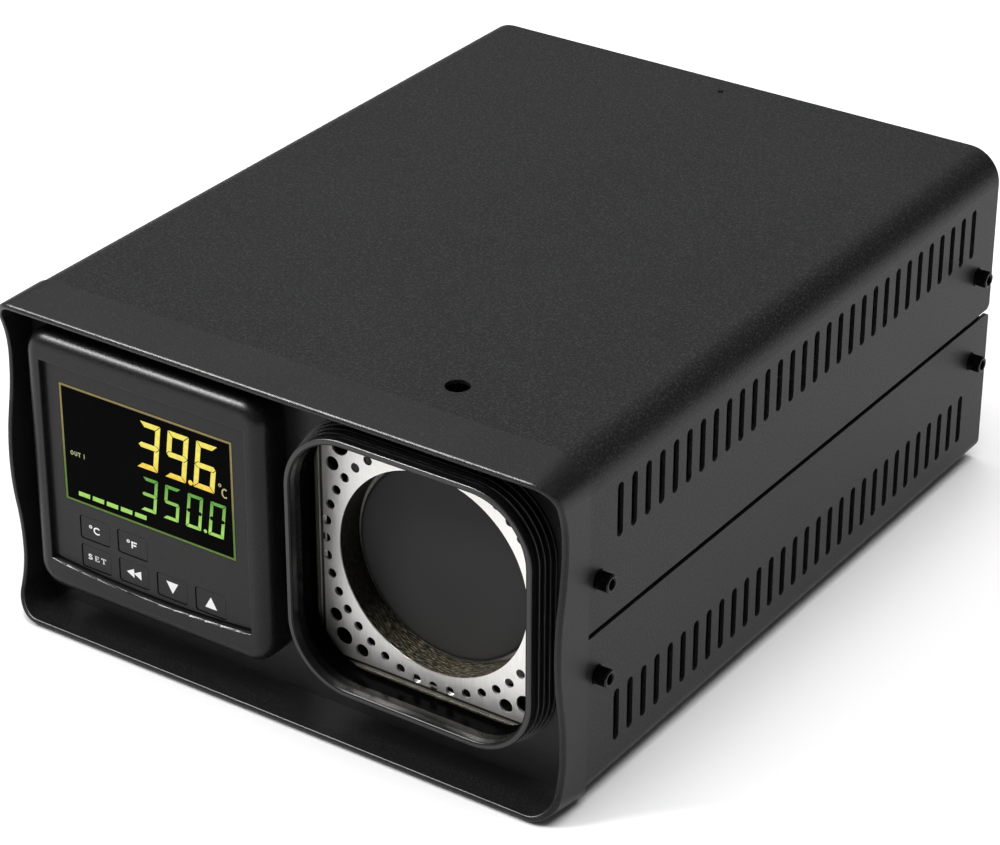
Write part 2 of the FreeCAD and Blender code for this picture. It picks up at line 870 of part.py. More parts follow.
def rear_panel():
    """A shallow tray that closes the back, with a flange that the covers screw to."""
    piece = Body("rear_panel")
    tray = (skirt_width, skirt_height, skirt_corner)
    piece.add("y", (rear_back - d.rear_flange, rear_back), middle, rounded(*tray))
    hollow = [side - 2 * d.rear_gauge for side in tray]
    hollow[2] = skirt_corner - d.rear_gauge
    piece.remove("y", (rear_back - d.rear_flange, rear_front), middle, rounded(*hollow))
    plate = (rear_front, rear_back)
    piece.remove("y", plate, fan, disc(d.fan_bore))
    for hole in square_places(fan, d.fan_hole_spacing):
        piece.remove("y", plate, hole, disc(d.small_screw_radius + d.hole_clearance))
    opening = [side + 2 * d.case_fit for side in (d.inlet_body_width, d.inlet_body_rise)]
    piece.remove("y", plate, inlet, rectangle(*opening))
    for hole in inlet_screw_places:
        piece.remove("y", plate, hole, disc(d.small_screw_radius + d.hole_clearance))
    opening = [side + 2 * d.case_fit for side in (d.rocker_body_width, d.rocker_body_rise)]
    piece.remove("y", plate, rocker, rectangle(*opening))
    for place_yz in screw_places[2:]:
        piece.remove("x", (-lining_half, lining_half), place_yz, disc(d.insert_radius))
    flange_top = mid_height + skirt_height / 2
    piece.remove("z", (flange_top - d.rear_gauge, flange_top), rivet_place, disc(d.rivet_radius))
    return piece.item


# Fasteners of the case


def side_hardware():
    """Socket screws on both sides, with the inserts and rivet nuts that they turn into."""
    screws, inserts, nuts = [], [], []
    for index, place_yz in enumerate(screw_places):
        for side in SIDES:
            tag = f"{index}_{'right' if side > 0 else 'left'}"
            screws.append(
                headed(
                    f"screw_{tag}",
                    "x",
                    place_yz,
                    side * cover_half,
                    side,
                    (d.screw_head_radius, d.screw_head_height),
                    (d.screw_radius, d.screw_length),
                    (d.screw_socket, d.screw_socket_depth),
                )
            )
            seat = side * lining_half
            if index < 2:
                span = reach(seat, -side, size(0), d.insert_length)
                inserts.append(tube(f"insert_{tag}", "x", place_yz, span, d.insert_radius, d.screw_radius))
                continue
            neck = reach(seat, -side, size(0), d.rear_gauge)
            bulge = reach(seat, -side, d.rear_gauge, d.rear_gauge + d.rivet_nut_length)
            nut = fuse(
                f"nut_{tag}_body",
                rod(f"nut_{tag}_neck", "x", place_yz, neck, d.insert_radius),
                rod(f"nut_{tag}_bulge", "x", place_yz, bulge, d.rivet_nut_radius),
            )
            bore = reach(seat, -side, size(0), d.rear_gauge + d.rivet_nut_length)
            nuts.append(cut(f"nut_{tag}", nut, rod(f"nut_{tag}_bore", "x", place_yz, bore, d.screw_radius)))
    return [
        group("side_screws", screws),
        group("frame_inserts", inserts),
        group("rivet_nuts", nuts),
    ]


def foot_hardware():
    """Rubber feet with a recess for the screw head, the screws, and the nuts inside the case."""
    feet, screws, nuts = [], [], []
    for index, at in enumerate(foot_places):
        nut_seat = skirt_floor if at in front_foot_places else base + d.sheet_gauge
        recess = base - d.foot_web
        bore = d.small_screw_radius + d.hole_clearance
        feet.append(
            cut(
                f"foot_{index}",
                rod(f"foot_{index}_pad", "z", at, (size(0), base), d.foot_radius),
                rod(f"foot_{index}_recess", "z", at, (size(0), recess), d.foot_recess),
                rod(f"foot_{index}_bore", "z", at, (size(0), base), bore),
            )
        )
        length = nut_seat + d.small_nut_height - recess
        screws.append(
            headed(
                f"foot_screw_{index}",
                "z",
                at,
                recess,
                -1,
                (d.small_head_radius, d.small_head_height),
                (d.small_screw_radius, length),
            )
        )
        span = (nut_seat, nut_seat + d.small_nut_height)
        nut = hexagon(f"foot_nut_{index}_stock", "z", at, span, d.small_nut_radius)
        hole = rod(f"foot_nut_{index}_bore", "z", at, span, d.small_screw_radius)
        nuts.append(cut(f"foot_nut_{index}", nut, hole))
    return [group("rubber_feet", feet), group("foot_screws", screws), group("foot_nuts", nuts)]


def cover_rivet():
    flange_top = mid_height + skirt_height / 2
    return fuse(
        "cover_rivet",
        rod("rivet_head", "z", rivet_place, (roof, roof + d.rivet_head_height), d.rivet_head),
        rod("rivet_shank", "z", rivet_place, (roof - d.rivet_length, roof), d.rivet_radius),
        rod(
            "rivet_tail",
            "z",
            rivet_place,
            (roof - d.rivet_length, flange_top - d.rear_gauge),
            d.rivet_head,
        ),
    )


# Source: a ribbed collar, a perforated heat shield and the heated target behind it

collar_front = front + d.collar_setback
shield_front = front + d.shield_setback
target_front = front + d.target_setback
target_back = target_front + d.target_depth
heater_back = target_back + d.heater_thickness
clamp_back = heater_back + d.clamp_thickness
standoff_back = clamp_back + d.standoff_length
housing_back = standoff_back + d.sheet_gauge
probe = (source[0], front + d.probe_setback)
standoff_places = [
    (
        source[0] + d.standoff_ring * math.sin(math.radians(turn)),
        source[1] + d.standoff_ring * math.cos(math.radians(turn)),
    )
    for turn in (60, 180, 300)
]
sensor = (source[0] + d.sensor_side, source[1])


def source_collar():
    """Ridges that step outwards to the panel, a plain front lip, a ledged mouth and a spigot."""
    piece = Body("source_collar")
    ridges_front = collar_front + d.collar_lip
    pitch = (panel_front - ridges_front) / d.ridge_count

    def square(extra, corner_extra):
        side = d.collar_size + 2 * extra
        return rounded(side, side, d.collar_corner + corner_extra)

    piece.add("y", (collar_front, ridges_front), source, square(size(0), size(0)))
    for index in range(int(d.ridge_count.value)):
        grow = d.ridge_step * (index + 1) / 2
        groove_start = ridges_front + pitch * index
        ridge_start = groove_start + pitch * (1 - d.ridge_share)
        narrow = grow - d.ridge_depth
        piece.add("y", (groove_start, ridge_start), source, square(narrow, narrow))
        piece.add("y", (ridge_start, groove_start + pitch), source, square(grow, grow))
    spigot_end = panel_front + d.spigot_length
    spigot = rounded(d.spigot_size, d.spigot_size, d.spigot_corner)
    piece.add("y", (panel_front, spigot_end), source, spigot)
    mouth = d.collar_size - 2 * d.collar_wall
    corner = d.collar_corner - d.collar_wall
    piece.remove("y", (collar_front, spigot_end), source, rounded(mouth, mouth, corner))
    relief = mouth + 2 * d.collar_relief
    behind_ledge = (collar_front + d.collar_ledge, spigot_end)
    piece.remove("y", behind_ledge, source, rounded(relief, relief, corner + d.collar_relief))
    piece.round(d.collar_round, lambda box: near(box.YMax, collar_front))
    return piece.item


def heat_shield():
    """A dished sheet with a stepped border, a sleeve round its big hole and rings of small holes."""
    piece = Body("heat_shield")
    gauge = d.shield_gauge
    plate_back = shield_front + gauge
    step_front = shield_front + d.shield_step
    face = d.shield_size - 2 * d.shield_border
    whole = rounded(d.shield_size, d.shield_size, d.shield_corner)
    flange_end = step_front + d.shield_flange
    plate = piece.add("y", (shield_front, step_front + gauge), source, rounded(face, face, d.shield_corner))
    piece.add("y", (step_front, flange_end), source, whole)
    tray = d.shield_size - 2 * gauge
    inside = rounded(tray, tray, d.shield_corner - gauge)
    piece.remove("y", (step_front + gauge, flange_end), source, inside)
    dish = face - 2 * gauge
    dish_span = (plate_back, step_front + gauge)
    piece.remove("y", dish_span, source, rounded(dish, dish, d.shield_corner - gauge))
    sleeve = (shield_front, shield_front + d.sleeve_depth)
    piece.add("y", sleeve, source, disc(d.sleeve_radius + gauge / 2))
    piece.remove("y", sleeve, source, disc(d.sleeve_radius - gauge / 2))
    hub = plate.Profile[0]
    through = (shield_front, plate_back)
    ring = piece.remove("y", through, source, disc(d.small_hole_radius, d.small_hole_ring, 0))
    piece.in_ring(ring, hub, d.small_hole_count)
    corner = piece.remove(
        "y",
        through,
        source,
        discs(
            (d.corner_hole_radius, d.corner_hole_place, d.corner_hole_place),
            (d.side_hole_radius, d.side_hole_near, d.side_hole_far),
            (d.side_hole_radius, d.side_hole_far, d.side_hole_near),
        ),
    )
    piece.in_ring(corner, hub, len(QUARTERS))
    return piece.item


def source_housing():
    """A folded box, open in front, with tabs that screw to the pillars behind the panel."""
    piece = Body("source_housing")
    piece.add("y", (panel_back, housing_back), source, rectangle(housing_size, housing_size))
    inside = housing_size - 2 * d.sheet_gauge
    piece.remove("y", (panel_back, standoff_back), source, rectangle(inside, inside))
    tab = (pillar_end, pillar_end + d.sheet_gauge)
    for place_xz in pillar_places:
        piece.add("y", tab, place_xz, rectangle(d.tab_width, d.tab_rise))
        piece.remove("y", tab, place_xz, disc(d.small_screw_radius + d.hole_clearance))
    for place_xz in standoff_places:
        piece.remove("y", (standoff_back, housing_back), place_xz, disc(d.bolt_radius + d.hole_clearance))
    piece.remove("y", (standoff_back, housing_back), sensor, disc(d.sensor_radius + d.hole_clearance))
    roof_span = (source[1] + inside / 2, source[1] + housing_size / 2)
    piece.remove("z", roof_span, probe, disc(d.probe_way))
    return piece.item


def target_block():
    """A round block with a dull front face, a well for a reference probe and blind holes behind."""
    piece = Body("target_block")
    piece.add("y", (target_front, target_back), source, disc(d.target_radius))
    well_top = source[1] + d.target_radius
    piece.remove("z", (well_top - d.probe_depth, well_top), probe, disc(d.probe_radius))
    grip = (target_back - d.bolt_grip, target_back)
    for place_xz in standoff_places:
        piece.remove("y", grip, place_xz, disc(d.bolt_radius))
    piece.remove("y", (target_back - d.sensor_depth, target_back), sensor, disc(d.sensor_radius))
    return piece.item


def backing_disc(name, span):
    """A disc behind the target with the bolt and sensor holes."""
    piece = Body(name)
    piece.add("y", span, source, disc(d.target_radius - d.heater_margin))
    for place_xz in standoff_places:
        piece.remove("y", span, place_xz, disc(d.bolt_radius + d.hole_clearance))
    piece.remove("y", span, sensor, disc(d.sensor_radius + d.hole_clearance))
    return piece.item


def insulation_jacket():
    """A soft ring round the target, with a way through for the probe."""
    piece = Body("insulation_jacket")
    span = (front + d.jacket_setback, standoff_back)
    piece.add("y", span, source, disc(d.jacket_radius))
    piece.remove("y", span, source, disc(d.target_radius + d.jacket_gap))
    wall = (source[1] + d.target_radius / 2, source[1] + d.jacket_radius)
    piece.remove("z", wall, probe, disc(d.probe_way))
    return piece.item


def source_hardware():
    """Stand-offs, bolts and screws that carry the target and its housing."""
    standoffs, bolts, screws = [], [], []
    grip = d.standoff_length + d.clamp_thickness + d.heater_thickness + d.bolt_grip + d.sheet_gauge
    for index, at in enumerate(standoff_places):
        span = (clamp_back, standoff_back)
        bore = d.bolt_radius + d.hole_clearance
        standoffs.append(tube(f"standoff_{index}", "y", at, span, d.standoff_radius, bore))
        head = (d.bolt_head_radius, d.bolt_head_height)
        bolts.append(headed(f"source_bolt_{index}", "y", at, housing_back, 1, head, (d.bolt_radius, grip)))
    for index, at in enumerate(pillar_places):
        seat = pillar_end + d.sheet_gauge
        head = (d.small_head_radius, d.small_head_height)
        shank = (d.small_screw_radius, d.pillar_height)
        screws.append(headed(f"housing_screw_{index}", "y", at, seat, 1, head, shank))
    return [group("standoffs", standoffs), group("source_bolts", bolts), group("housing_screws", screws)]


def temperature_sensor():
    return rod(
        "temperature_sensor",
        "y",
        sensor,
        (target_back - d.sensor_depth, target_back + d.sensor_tail),
        d.sensor_radius,
    )


# Controller: a bezel with a display and six keys in front of a case that clips into the panel

bezel_front = front + d.bezel_setback
bezel_back = panel_front - d.gasket_thickness
recess_floor = bezel_front + d.recess_depth
face_back = recess_floor + d.bezel_face
window = (controller[0], controller[1] + d.window_height)
key_top_row = controller[1] - d.key_row + d.key_row_gap
key_places = {
    "key_celsius": (0, key_top_row),
    "key_fahrenheit": (1, key_top_row),
    "key_set": (0, controller[1] - d.key_row),
    "key_shift": (1, controller[1] - d.key_row),
    "key_down": (2, controller[1] - d.key_row),
    "key_up": (3, controller[1] - d.key_row),
}
key_centres = {
    name: (controller[0] - d.key_side + column * d.key_pitch, height)
    for name, (column, height) in key_places.items()
}
lip_front = face_back + d.key_gap
lip_back = lip_front + d.key_lip_depth
stem_end = lip_back + d.key_stem
switch_front = stem_end + d.key_travel + d.key_gap
board_front = switch_front + d.switch_height
board_back = board_front + d.board_thickness
case_end = bezel_back + d.case_depth


def bowed_recess():
    """The set-back face of the bezel, whose lower edge bows downwards."""
    half = d.recess_width / 2
    bow = (half * half + d.recess_bow * d.recess_bow) / (2 * d.recess_bow)
    foot = d.recess_bow - d.recess_foot
    return outline((-half, foot, bow), (half, foot), (half, d.recess_top), (-half, d.recess_top))


def bowed_groove():
    """A groove along the lower edge of the set-back face."""
    half = d.recess_width / 2
    bow = (half * half + d.recess_bow * d.recess_bow) / (2 * d.recess_bow)
    foot = d.recess_bow - d.recess_foot
    crest = foot + d.groove_width
    return outline((-half, foot, bow), (half, foot), (half, crest, -bow), (-half, crest))


def in_recess(box):
    """Whether an edge runs round the mouth of the set-back face."""
    reach_x = d.recess_width.value / 2 + 1e-4
    level = near(box.YMin, bezel_front) and near(box.YMax, bezel_front)
    sideways = box.XMin > controller[0].value - reach_x and box.XMax < controller[0].value + reach_x
    return level and sideways and box.ZMax < (controller[1] + d.recess_top).value + 1e-4 and (
        box.ZMin > (controller[1] - d.recess_foot).value - 1e-4
    )


def controller_bezel():
    piece = Body("controller_bezel")
    whole = rounded(d.bezel_width, d.bezel_rise, d.bezel_corner)
    piece.add("y", (bezel_front, bezel_back), controller, whole)
    piece.round(d.bezel_round, lambda box: near(box.YMax, bezel_front))
    piece.remove("y", (bezel_front, recess_floor), controller, bowed_recess())
    piece.round(d.recess_round, in_recess)
    piece.remove("y", (recess_floor, recess_floor + d.groove_depth), controller, bowed_groove())
    cavity = [side - 2 * d.bezel_wall for side in (d.bezel_width, d.bezel_rise)]
    corner = d.bezel_corner - d.bezel_wall
    piece.remove("y", (face_back, bezel_back), controller, rounded(*cavity, corner))
    face = (recess_floor, face_back)
    piece.remove("y", face, window, rectangle(d.window_width, d.window_rise))
    hole = [side + 2 * d.key_gap for side in (d.key_width, d.key_rise)]
    for centre in key_centres.values():
        piece.remove("y", face, centre, rounded(*hole, d.key_corner + d.key_gap))
    return piece.item


def bezel_gasket():
    piece = Body("bezel_gasket")
    span = (bezel_back, panel_front)
    piece.add("y", span, controller, rounded(d.bezel_width, d.bezel_rise, d.bezel_corner))
    hole = [side + 2 * d.case_fit for side in (d.case_width, d.case_rise)]
    piece.remove("y", span, controller, rectangle(*hole))
    return piece.item


def display_window():
    piece = Body("display_window")
    pane = [side - 2 * d.window_fit for side in (d.window_width, d.window_rise)]
    piece.add("y", (recess_floor, recess_floor + d.window_thickness), window, rectangle(*pane))
    return piece.item


def display_module():
    piece = Body("display_module")
    rise = d.window_rise + 2 * d.module_margin
    piece.add("y", (face_back, face_back + d.module_depth), window, rectangle(d.window_width, rise))
    return piece.item


def key(name):
    """A key cap with a lip behind the bezel's face and a stem that meets its switch."""
    piece = Body(name)
    centre = key_centres[name]
    cap = (recess_floor + d.key_setback, lip_front)
    piece.add("y", cap, centre, rounded(d.key_width, d.key_rise, d.key_corner))
    piece.round(d.key_round, lambda box: near(box.YMax, cap[0]))
    lip = [side + 2 * d.key_lip for side in (d.key_width, d.key_rise)]
    piece.add("y", (lip_front, lip_back), centre, rounded(*lip, d.key_corner + d.key_lip))
    piece.add("y", (lip_back, stem_end), centre, disc(d.key_stem_radius))
    return piece.item


def key_switches():
    half = d.switch_size / 2
    switches = []
    for name, (x, z) in key_centres.items():
        span = (switch_front, board_front)
        switches.append(block(f"switch_of_{name}", (x - half, x + half), span, (z - half, z + half)))
    return group("key_switches", switches)


def controller_board():
    piece = Body("controller_board")
    piece.add("y", (board_front, board_back), controller, rectangle(d.board_width, d.board_rise))
    return piece.item


def controller_case():
    piece = Body("controller_case")
    piece.add("y", (bezel_back, case_end), controller, rectangle(d.case_width, d.case_rise))
    inside = [side - 2 * d.case_wall for side in (d.case_width, d.case_rise)]
    piece.remove("y", (bezel_back, case_end - d.case_wall), controller, rectangle(*inside))
    return piece.item


def terminal_block():
    """A row of screw terminals on the back of the controller."""
    piece = Body("terminal_block")
    span = (case_end, case_end + d.terminal_depth)
    piece.add("y", span, controller, rectangle(d.terminal_width, d.terminal_rise))
    first = (controller[0] - d.terminal_pitch * (d.terminal_count - 1) / 2, controller[1])
    screw = piece.remove("y", (span[1] - d.terminal_depth / 2, span[1]), first, disc(d.small_screw_radius))
    piece.in_row(screw, d.terminal_pitch, d.terminal_count)
    return piece.item


def panel_clips():
    """Clips that hold the controller's case against the back of the panel."""
    clips = []
    half = d.panel_clip_rise / 2
    for side in SIDES:
        face = controller[0] + side * d.case_width / 2
        across = reach(face, side, size(0), d.panel_clip_thickness)
        along = (panel_back, panel_back + d.panel_clip_depth)
        height = (controller[1] - half, controller[1] + half)
        clips.append(block(f"clip_{'right' if side > 0 else 'left'}", across, along, height))
    return group("panel_clips", clips)


# Back of the case: mains inlet with its fuse drawer, power switch and fan

inlet = (cover_half - d.inlet_inset, base + d.inlet_height)
rocker = (cover_half - d.rocker_inset, base + d.rocker_height)
fan = (-d.fan_side, mid_height + d.fan_lift)
inlet_screw_places = [(inlet[0] + side * d.inlet_screw_spacing / 2, inlet[1]) for side in SIDES]
inlet_face = rear_back + d.inlet_flange
inlet_inner = rear_back - d.inlet_body_depth
socket = (inlet[0], inlet[1] - d.socket_drop)
socket_floor = inlet_face - d.socket_depth
drawer = (inlet[0], inlet[1] + d.drawer_lift)
drawer_end = inlet_face - d.drawer_depth
blade_places = [
    (socket[0] - d.blade_spacing / 2, socket[1] - d.earth_lift / 2),
    (socket[0] + d.blade_spacing / 2, socket[1] - d.earth_lift / 2),
    (socket[0], socket[1] + d.earth_lift / 2),
]


def power_inlet():
    piece = Body("power_inlet")
    flange = rounded(d.inlet_width, d.inlet_rise, d.inlet_corner)
    piece.add("y", (rear_back, inlet_face), inlet, flange)
    piece.add("y", (inlet_inner, rear_back), inlet, rectangle(d.inlet_body_width, d.inlet_body_rise))
    mouth = rounded(d.socket_width, d.socket_rise, d.socket_corner)
    piece.remove("y", (socket_floor, inlet_face), socket, mouth)
    piece.remove("y", (drawer_end, inlet_face), drawer, rectangle(d.drawer_width, d.drawer_rise))
    for at in blade_places:
        piece.remove("y", (inlet_inner, socket_floor), at, rectangle(d.blade_width, d.blade_rise))
    for at in inlet_screw_places:
        piece.remove("y", (rear_back, inlet_face), at, disc(d.small_screw_radius + d.hole_clearance))
    return piece.item


def inlet_blades():
    blades = []
    for index, (x, z) in enumerate(blade_places):
        across = (x - d.blade_width / 2, x + d.blade_width / 2)
        along = (inlet_inner - d.blade_tail, socket_floor + d.blade_length)
        height = (z - d.blade_rise / 2, z + d.blade_rise / 2)
        blades.append(block(f"blade_{index}", across, along, height))
    return group("inlet_blades", blades)


def fuse_drawer():
    """An open tray behind a flush face, with room for a fuse in use and a spare."""
    piece = Body("fuse_drawer")
    width = d.drawer_width - 2 * d.drawer_gap
    rise = d.drawer_rise - 2 * d.drawer_gap
    inner_end = drawer_end + d.drawer_gap
    piece.add("y", (inner_end, inlet_face), drawer, rectangle(width, rise))
    well = (inner_end + d.drawer_wall, inlet_face - d.drawer_face)
    well_rise = rise - d.drawer_floor
    centre = (drawer[0], drawer[1] + d.drawer_floor / 2)
    piece.remove("y", well, centre, rectangle(width - 2 * d.drawer_wall, well_rise))
    return piece.item


def fuses():
    pieces = []
    height = drawer[1] - d.drawer_rise / 2 + d.drawer_gap + d.drawer_floor + d.fuse_radius
    middle_y = (drawer_end + d.drawer_gap + d.drawer_wall + inlet_face - d.drawer_face) / 2
    for index, way in enumerate(SIDES):
        at = (middle_y + way * d.fuse_pitch / 2, height)
        span = (drawer[0] - d.fuse_length / 2, drawer[0] + d.fuse_length / 2)
        pieces.append(rod(f"fuse_{index}", "x", at, span, d.fuse_radius))
    return group("fuses", pieces)


def screw_and_nut(name, at, seat, length):
    """A pan-head screw into the back with its nut at the far end."""
    head = (d.small_head_radius, d.small_head_height)
    screw = headed(f"{name}_screw", "y", at, seat, 1, head, (d.small_screw_radius, length))
    span = (seat - length, seat - length + d.small_nut_height)
    stock = hexagon(f"{name}_nut_stock", "y", at, span, d.small_nut_radius)
    nut = cut(f"{name}_nut", stock, rod(f"{name}_nut_bore", "y", at, span, d.small_screw_radius))
    return screw, nut


def rear_hardware():
    """Screws and nuts of the inlet and the fan."""
    inlet_length = d.inlet_flange + d.rear_gauge + d.small_nut_height
    fan_length = 2 * d.guard_wire + d.rear_gauge + d.fan_depth + d.small_nut_height
    fan_seat = rear_back + 2 * d.guard_wire
    pairs = [
        screw_and_nut(f"inlet_{index}", at, inlet_face, inlet_length)
        for index, at in enumerate(inlet_screw_places)
    ]
    pairs += [
        screw_and_nut(f"fan_{index}", at, fan_seat, fan_length)
        for index, at in enumerate(square_places(fan, d.fan_hole_spacing))
    ]
    return [
        group("rear_screws", [screw for screw, nut in pairs]),
        group("rear_nuts", [nut for screw, nut in pairs]),
    ]


rocker_axis_depth = rear_back - d.rocker_pivot
rocker_well = [
    d.rocker_width + 2 * d.rocker_gap,
    2 * (d.rocker_half + d.rocker_gap + d.rocker_edge),
]


def switch_body():
    piece = Body("switch_body")
    frame_face = rear_back + d.rocker_frame_depth
    inner = rear_back - d.rocker_body_depth
    piece.add("y", (rear_back, frame_face), rocker, rectangle(d.rocker_frame_width, d.rocker_frame_rise))
    piece.add("y", (inner, rear_back), rocker, rectangle(d.rocker_body_width, d.rocker_body_rise))
    floor = rocker_axis_depth - d.rocker_keel - d.rocker_half / 4
    piece.remove("y", (floor, frame_face), rocker, rectangle(*rocker_well))
    half = d.rocker_body_width / 2
    pin_place = (rocker_axis_depth, rocker[1])
    piece.add("x", (rocker[0] - half, rocker[0] + half), pin_place, disc(d.rocker_pin_radius))
    return piece.item


def rocker_corner(height, out):
    """A corner of the rocker's side view, turned to the on position about its pin."""
    tilt = math.radians(d.rocker_tilt.value)
    return (
        out * math.cos(tilt) - height * math.sin(tilt),
        height * math.cos(tilt) + out * math.sin(tilt),
    )


def power_rocker():
    """A rocker with a dipped face, bored for the pin of the switch."""
    piece = Body("power_rocker")
    half = d.rocker_width / 2
    side_view = outline(
        rocker_corner(d.rocker_half, d.rocker_crest),
        rocker_corner(size(0), d.rocker_dip),
        rocker_corner(-d.rocker_half, d.rocker_crest),
        rocker_corner(-d.rocker_half, -d.rocker_edge),
        rocker_corner(-d.rocker_foot, -d.rocker_keel),
        rocker_corner(d.rocker_foot, -d.rocker_keel),
        rocker_corner(d.rocker_half, -d.rocker_edge),
    )
    pin_place = (rocker_axis_depth, rocker[1])
    span = (rocker[0] - half, rocker[0] + half)
    piece.add("x", span, pin_place, side_view)
    piece.remove("x", span, pin_place, disc(d.rocker_pin_radius + d.rocker_pin_gap))
    return piece.item


fan_front = rear_front - d.fan_depth
hub_front = rear_front - d.fan_hub_depth
rotor_back = hub_front - d.rotor_gap


def fan_frame():
    """A square frame with a hub on four struts, bored for the rotor's shaft."""
    piece = Body("fan_frame")
    piece.add("y", (fan_front, rear_front), fan, rounded(d.fan_size, d.fan_size, d.fan_corner))
    piece.remove("y", (fan_front, rear_front), fan, disc(d.fan_bore))
    for hole in square_places(fan, d.fan_hole_spacing):
        piece.remove("y", (fan_front, rear_front), hole, disc(d.small_screw_radius + d.hole_clearance))
    rear_layer = (hub_front, rear_front)
    piece.add("y", rear_layer, fan, rectangle(d.fan_strut, 2 * d.fan_bore + d.fan_strut))
    piece.add("y", rear_layer, fan, rectangle(2 * d.fan_bore + d.fan_strut, d.fan_strut))
    piece.add("y", rear_layer, fan, disc(d.fan_hub))
    piece.remove("y", rear_layer, fan, disc(d.fan_shaft + d.fan_shaft_gap))
    return piece.item


def fan_rotor():
    """A hub with slanted blades and the shaft that turns in the frame's hub."""
    piece = Body("fan_rotor")
    hub_span = (rotor_back - d.rotor_depth, rotor_back)
    hub = piece.add("y", hub_span, fan, disc(d.rotor_hub))
    piece.add("y", (rotor_back, rear_front - d.rotor_gap), fan, disc(d.fan_shaft))
    centre = (fan[0], (hub_span[0] + hub_span[1]) / 2)
    lean, rise = d.fan_blade_chord / 2, d.fan_blade_sweep
    skew = d.fan_blade_thickness
    slanted = outline((-lean, -rise), (skew - lean, -rise), (lean, rise), (lean - skew, rise))
    radius = (fan[1] + d.rotor_hub - d.rotor_gap, fan[1] + d.fan_blade_tip)
    blade = piece.add("z", radius, centre, slanted)
    piece.in_ring(blade, hub.Profile[0], d.blade_count)
    return piece.item


def fan_guard():
    """Wire rings on four spokes, with an eye at the end of each for a fan screw."""
    wire = d.guard_wire
    spoke_depth = rear_back + wire
    ring_depth = spoke_depth + d.guard_lift
    items = []
    for index in range(int(d.guard_ring_count.value)):
        ring = doc.addObject("Part::Torus", f"guard_ring_{index}")
        link(ring, "Radius1", d.guard_ring_first + index * d.guard_ring_pitch)
        link(ring, "Radius2", wire)
        place(ring, "y", fan, ring_depth)
        items.append(ring)
    for index, (x, z) in enumerate(QUARTERS):
        spoke = doc.addObject("Part::Cylinder", f"guard_spoke_{index}")
        link(spoke, "Radius", d.guard_spoke)
        start = d.guard_ring_first - 2 * wire
        link(spoke, "Height", d.fan_hole_spacing / math.sqrt(2) - d.guard_eye - start)
        turn = FreeCAD.Rotation(FreeCAD.Vector(0, 0, 1), FreeCAD.Vector(x, 0, z))
        spoke.Placement = FreeCAD.Placement(FreeCAD.Vector(), turn)
        link(spoke, "Placement.Base.x", fan[0] + x * start / math.sqrt(2))
        link(spoke, "Placement.Base.y", spoke_depth)
        link(spoke, "Placement.Base.z", fan[1] + z * start / math.sqrt(2))
        items.append(spoke)
        eye = doc.addObject("Part::Torus", f"guard_eye_{index}")
        link(eye, "Radius1", d.guard_eye)
        link(eye, "Radius2", wire)
        place(eye, "y", square_places(fan, d.fan_hole_spacing)[index], spoke_depth)
        items.append(eye)
    return fuse("fan_guard", *items)


# Relay that switches the heater, screwed to the floor of the case

relay = (-d.relay_side, rear - d.relay_inset)
relay_floor = base + d.sheet_gauge
relay_screw_places = [(relay[0], relay[1] + side * d.relay_hole_spacing / 2) for side in SIDES]


def solid_state_relay():
    piece = Body("solid_state_relay")
    top = relay_floor + d.relay_rise
    piece.add("z", (relay_floor, top), relay, rectangle(d.relay_width, d.relay_depth))
    for side in SIDES:
        shelf = (relay[0], relay[1] + side * (d.relay_depth - d.relay_shelf) / 2)
        piece.remove("z", (top - d.relay_step, top), shelf, rectangle(d.relay_width, d.relay_shelf))
    for at in relay_screw_places:
        pilot = (relay_floor, relay_floor + d.relay_base + d.small_screw_radius)
        piece.remove("z", pilot, at, disc(d.small_screw_radius))
    return piece.item


def relay_screws():
    head = (d.small_head_radius, d.small_head_height)
    shank = (d.small_screw_radius, d.sheet_gauge + d.relay_base)
    screws = [
        headed(f"relay_screw_{index}", "z", at, base, -1, head, shank)
        for index, at in enumerate(relay_screw_places)
    ]
    return group("relay_screws", screws)


# Leads between the inlet, switch, relay, heater and controller


def lead(name, *stops):
    """A wire of straight runs joined by arcs, through stops given as sizes."""
    points = [FreeCAD.Vector(*(size(value).value for value in stop)) for stop in stops]
    edges, start = [], points[0]
    bend = d.lead_bend.value
    for index in range(1, len(points) - 1):
        corner = points[index]
        back = (points[index - 1] - corner).normalize()
        ahead = (points[index + 1] - corner).normalize()
        half_turn = back.getAngle(ahead) / 2
        trim = bend / math.tan(half_turn)
        middle_way = (back + ahead).normalize()
        crown = corner + middle_way * (bend / math.sin(half_turn) - bend)
        first, last = corner + back * trim, corner + ahead * trim
        edges.append(Part.LineSegment(start, first).toShape())
        edges.append(Part.Arc(first, crown, last).toShape())
        start = last
    edges.append(Part.LineSegment(start, points[-1]).toShape())
    path = Part.Wire(edges)
    ring = Part.Wire(Part.Circle(points[0], points[1] - points[0], d.lead_radius.value).toShape())
    item = doc.addObject("Part::Feature", name)
    item.Shape = path.makePipeShell([ring], True, False)
    return item


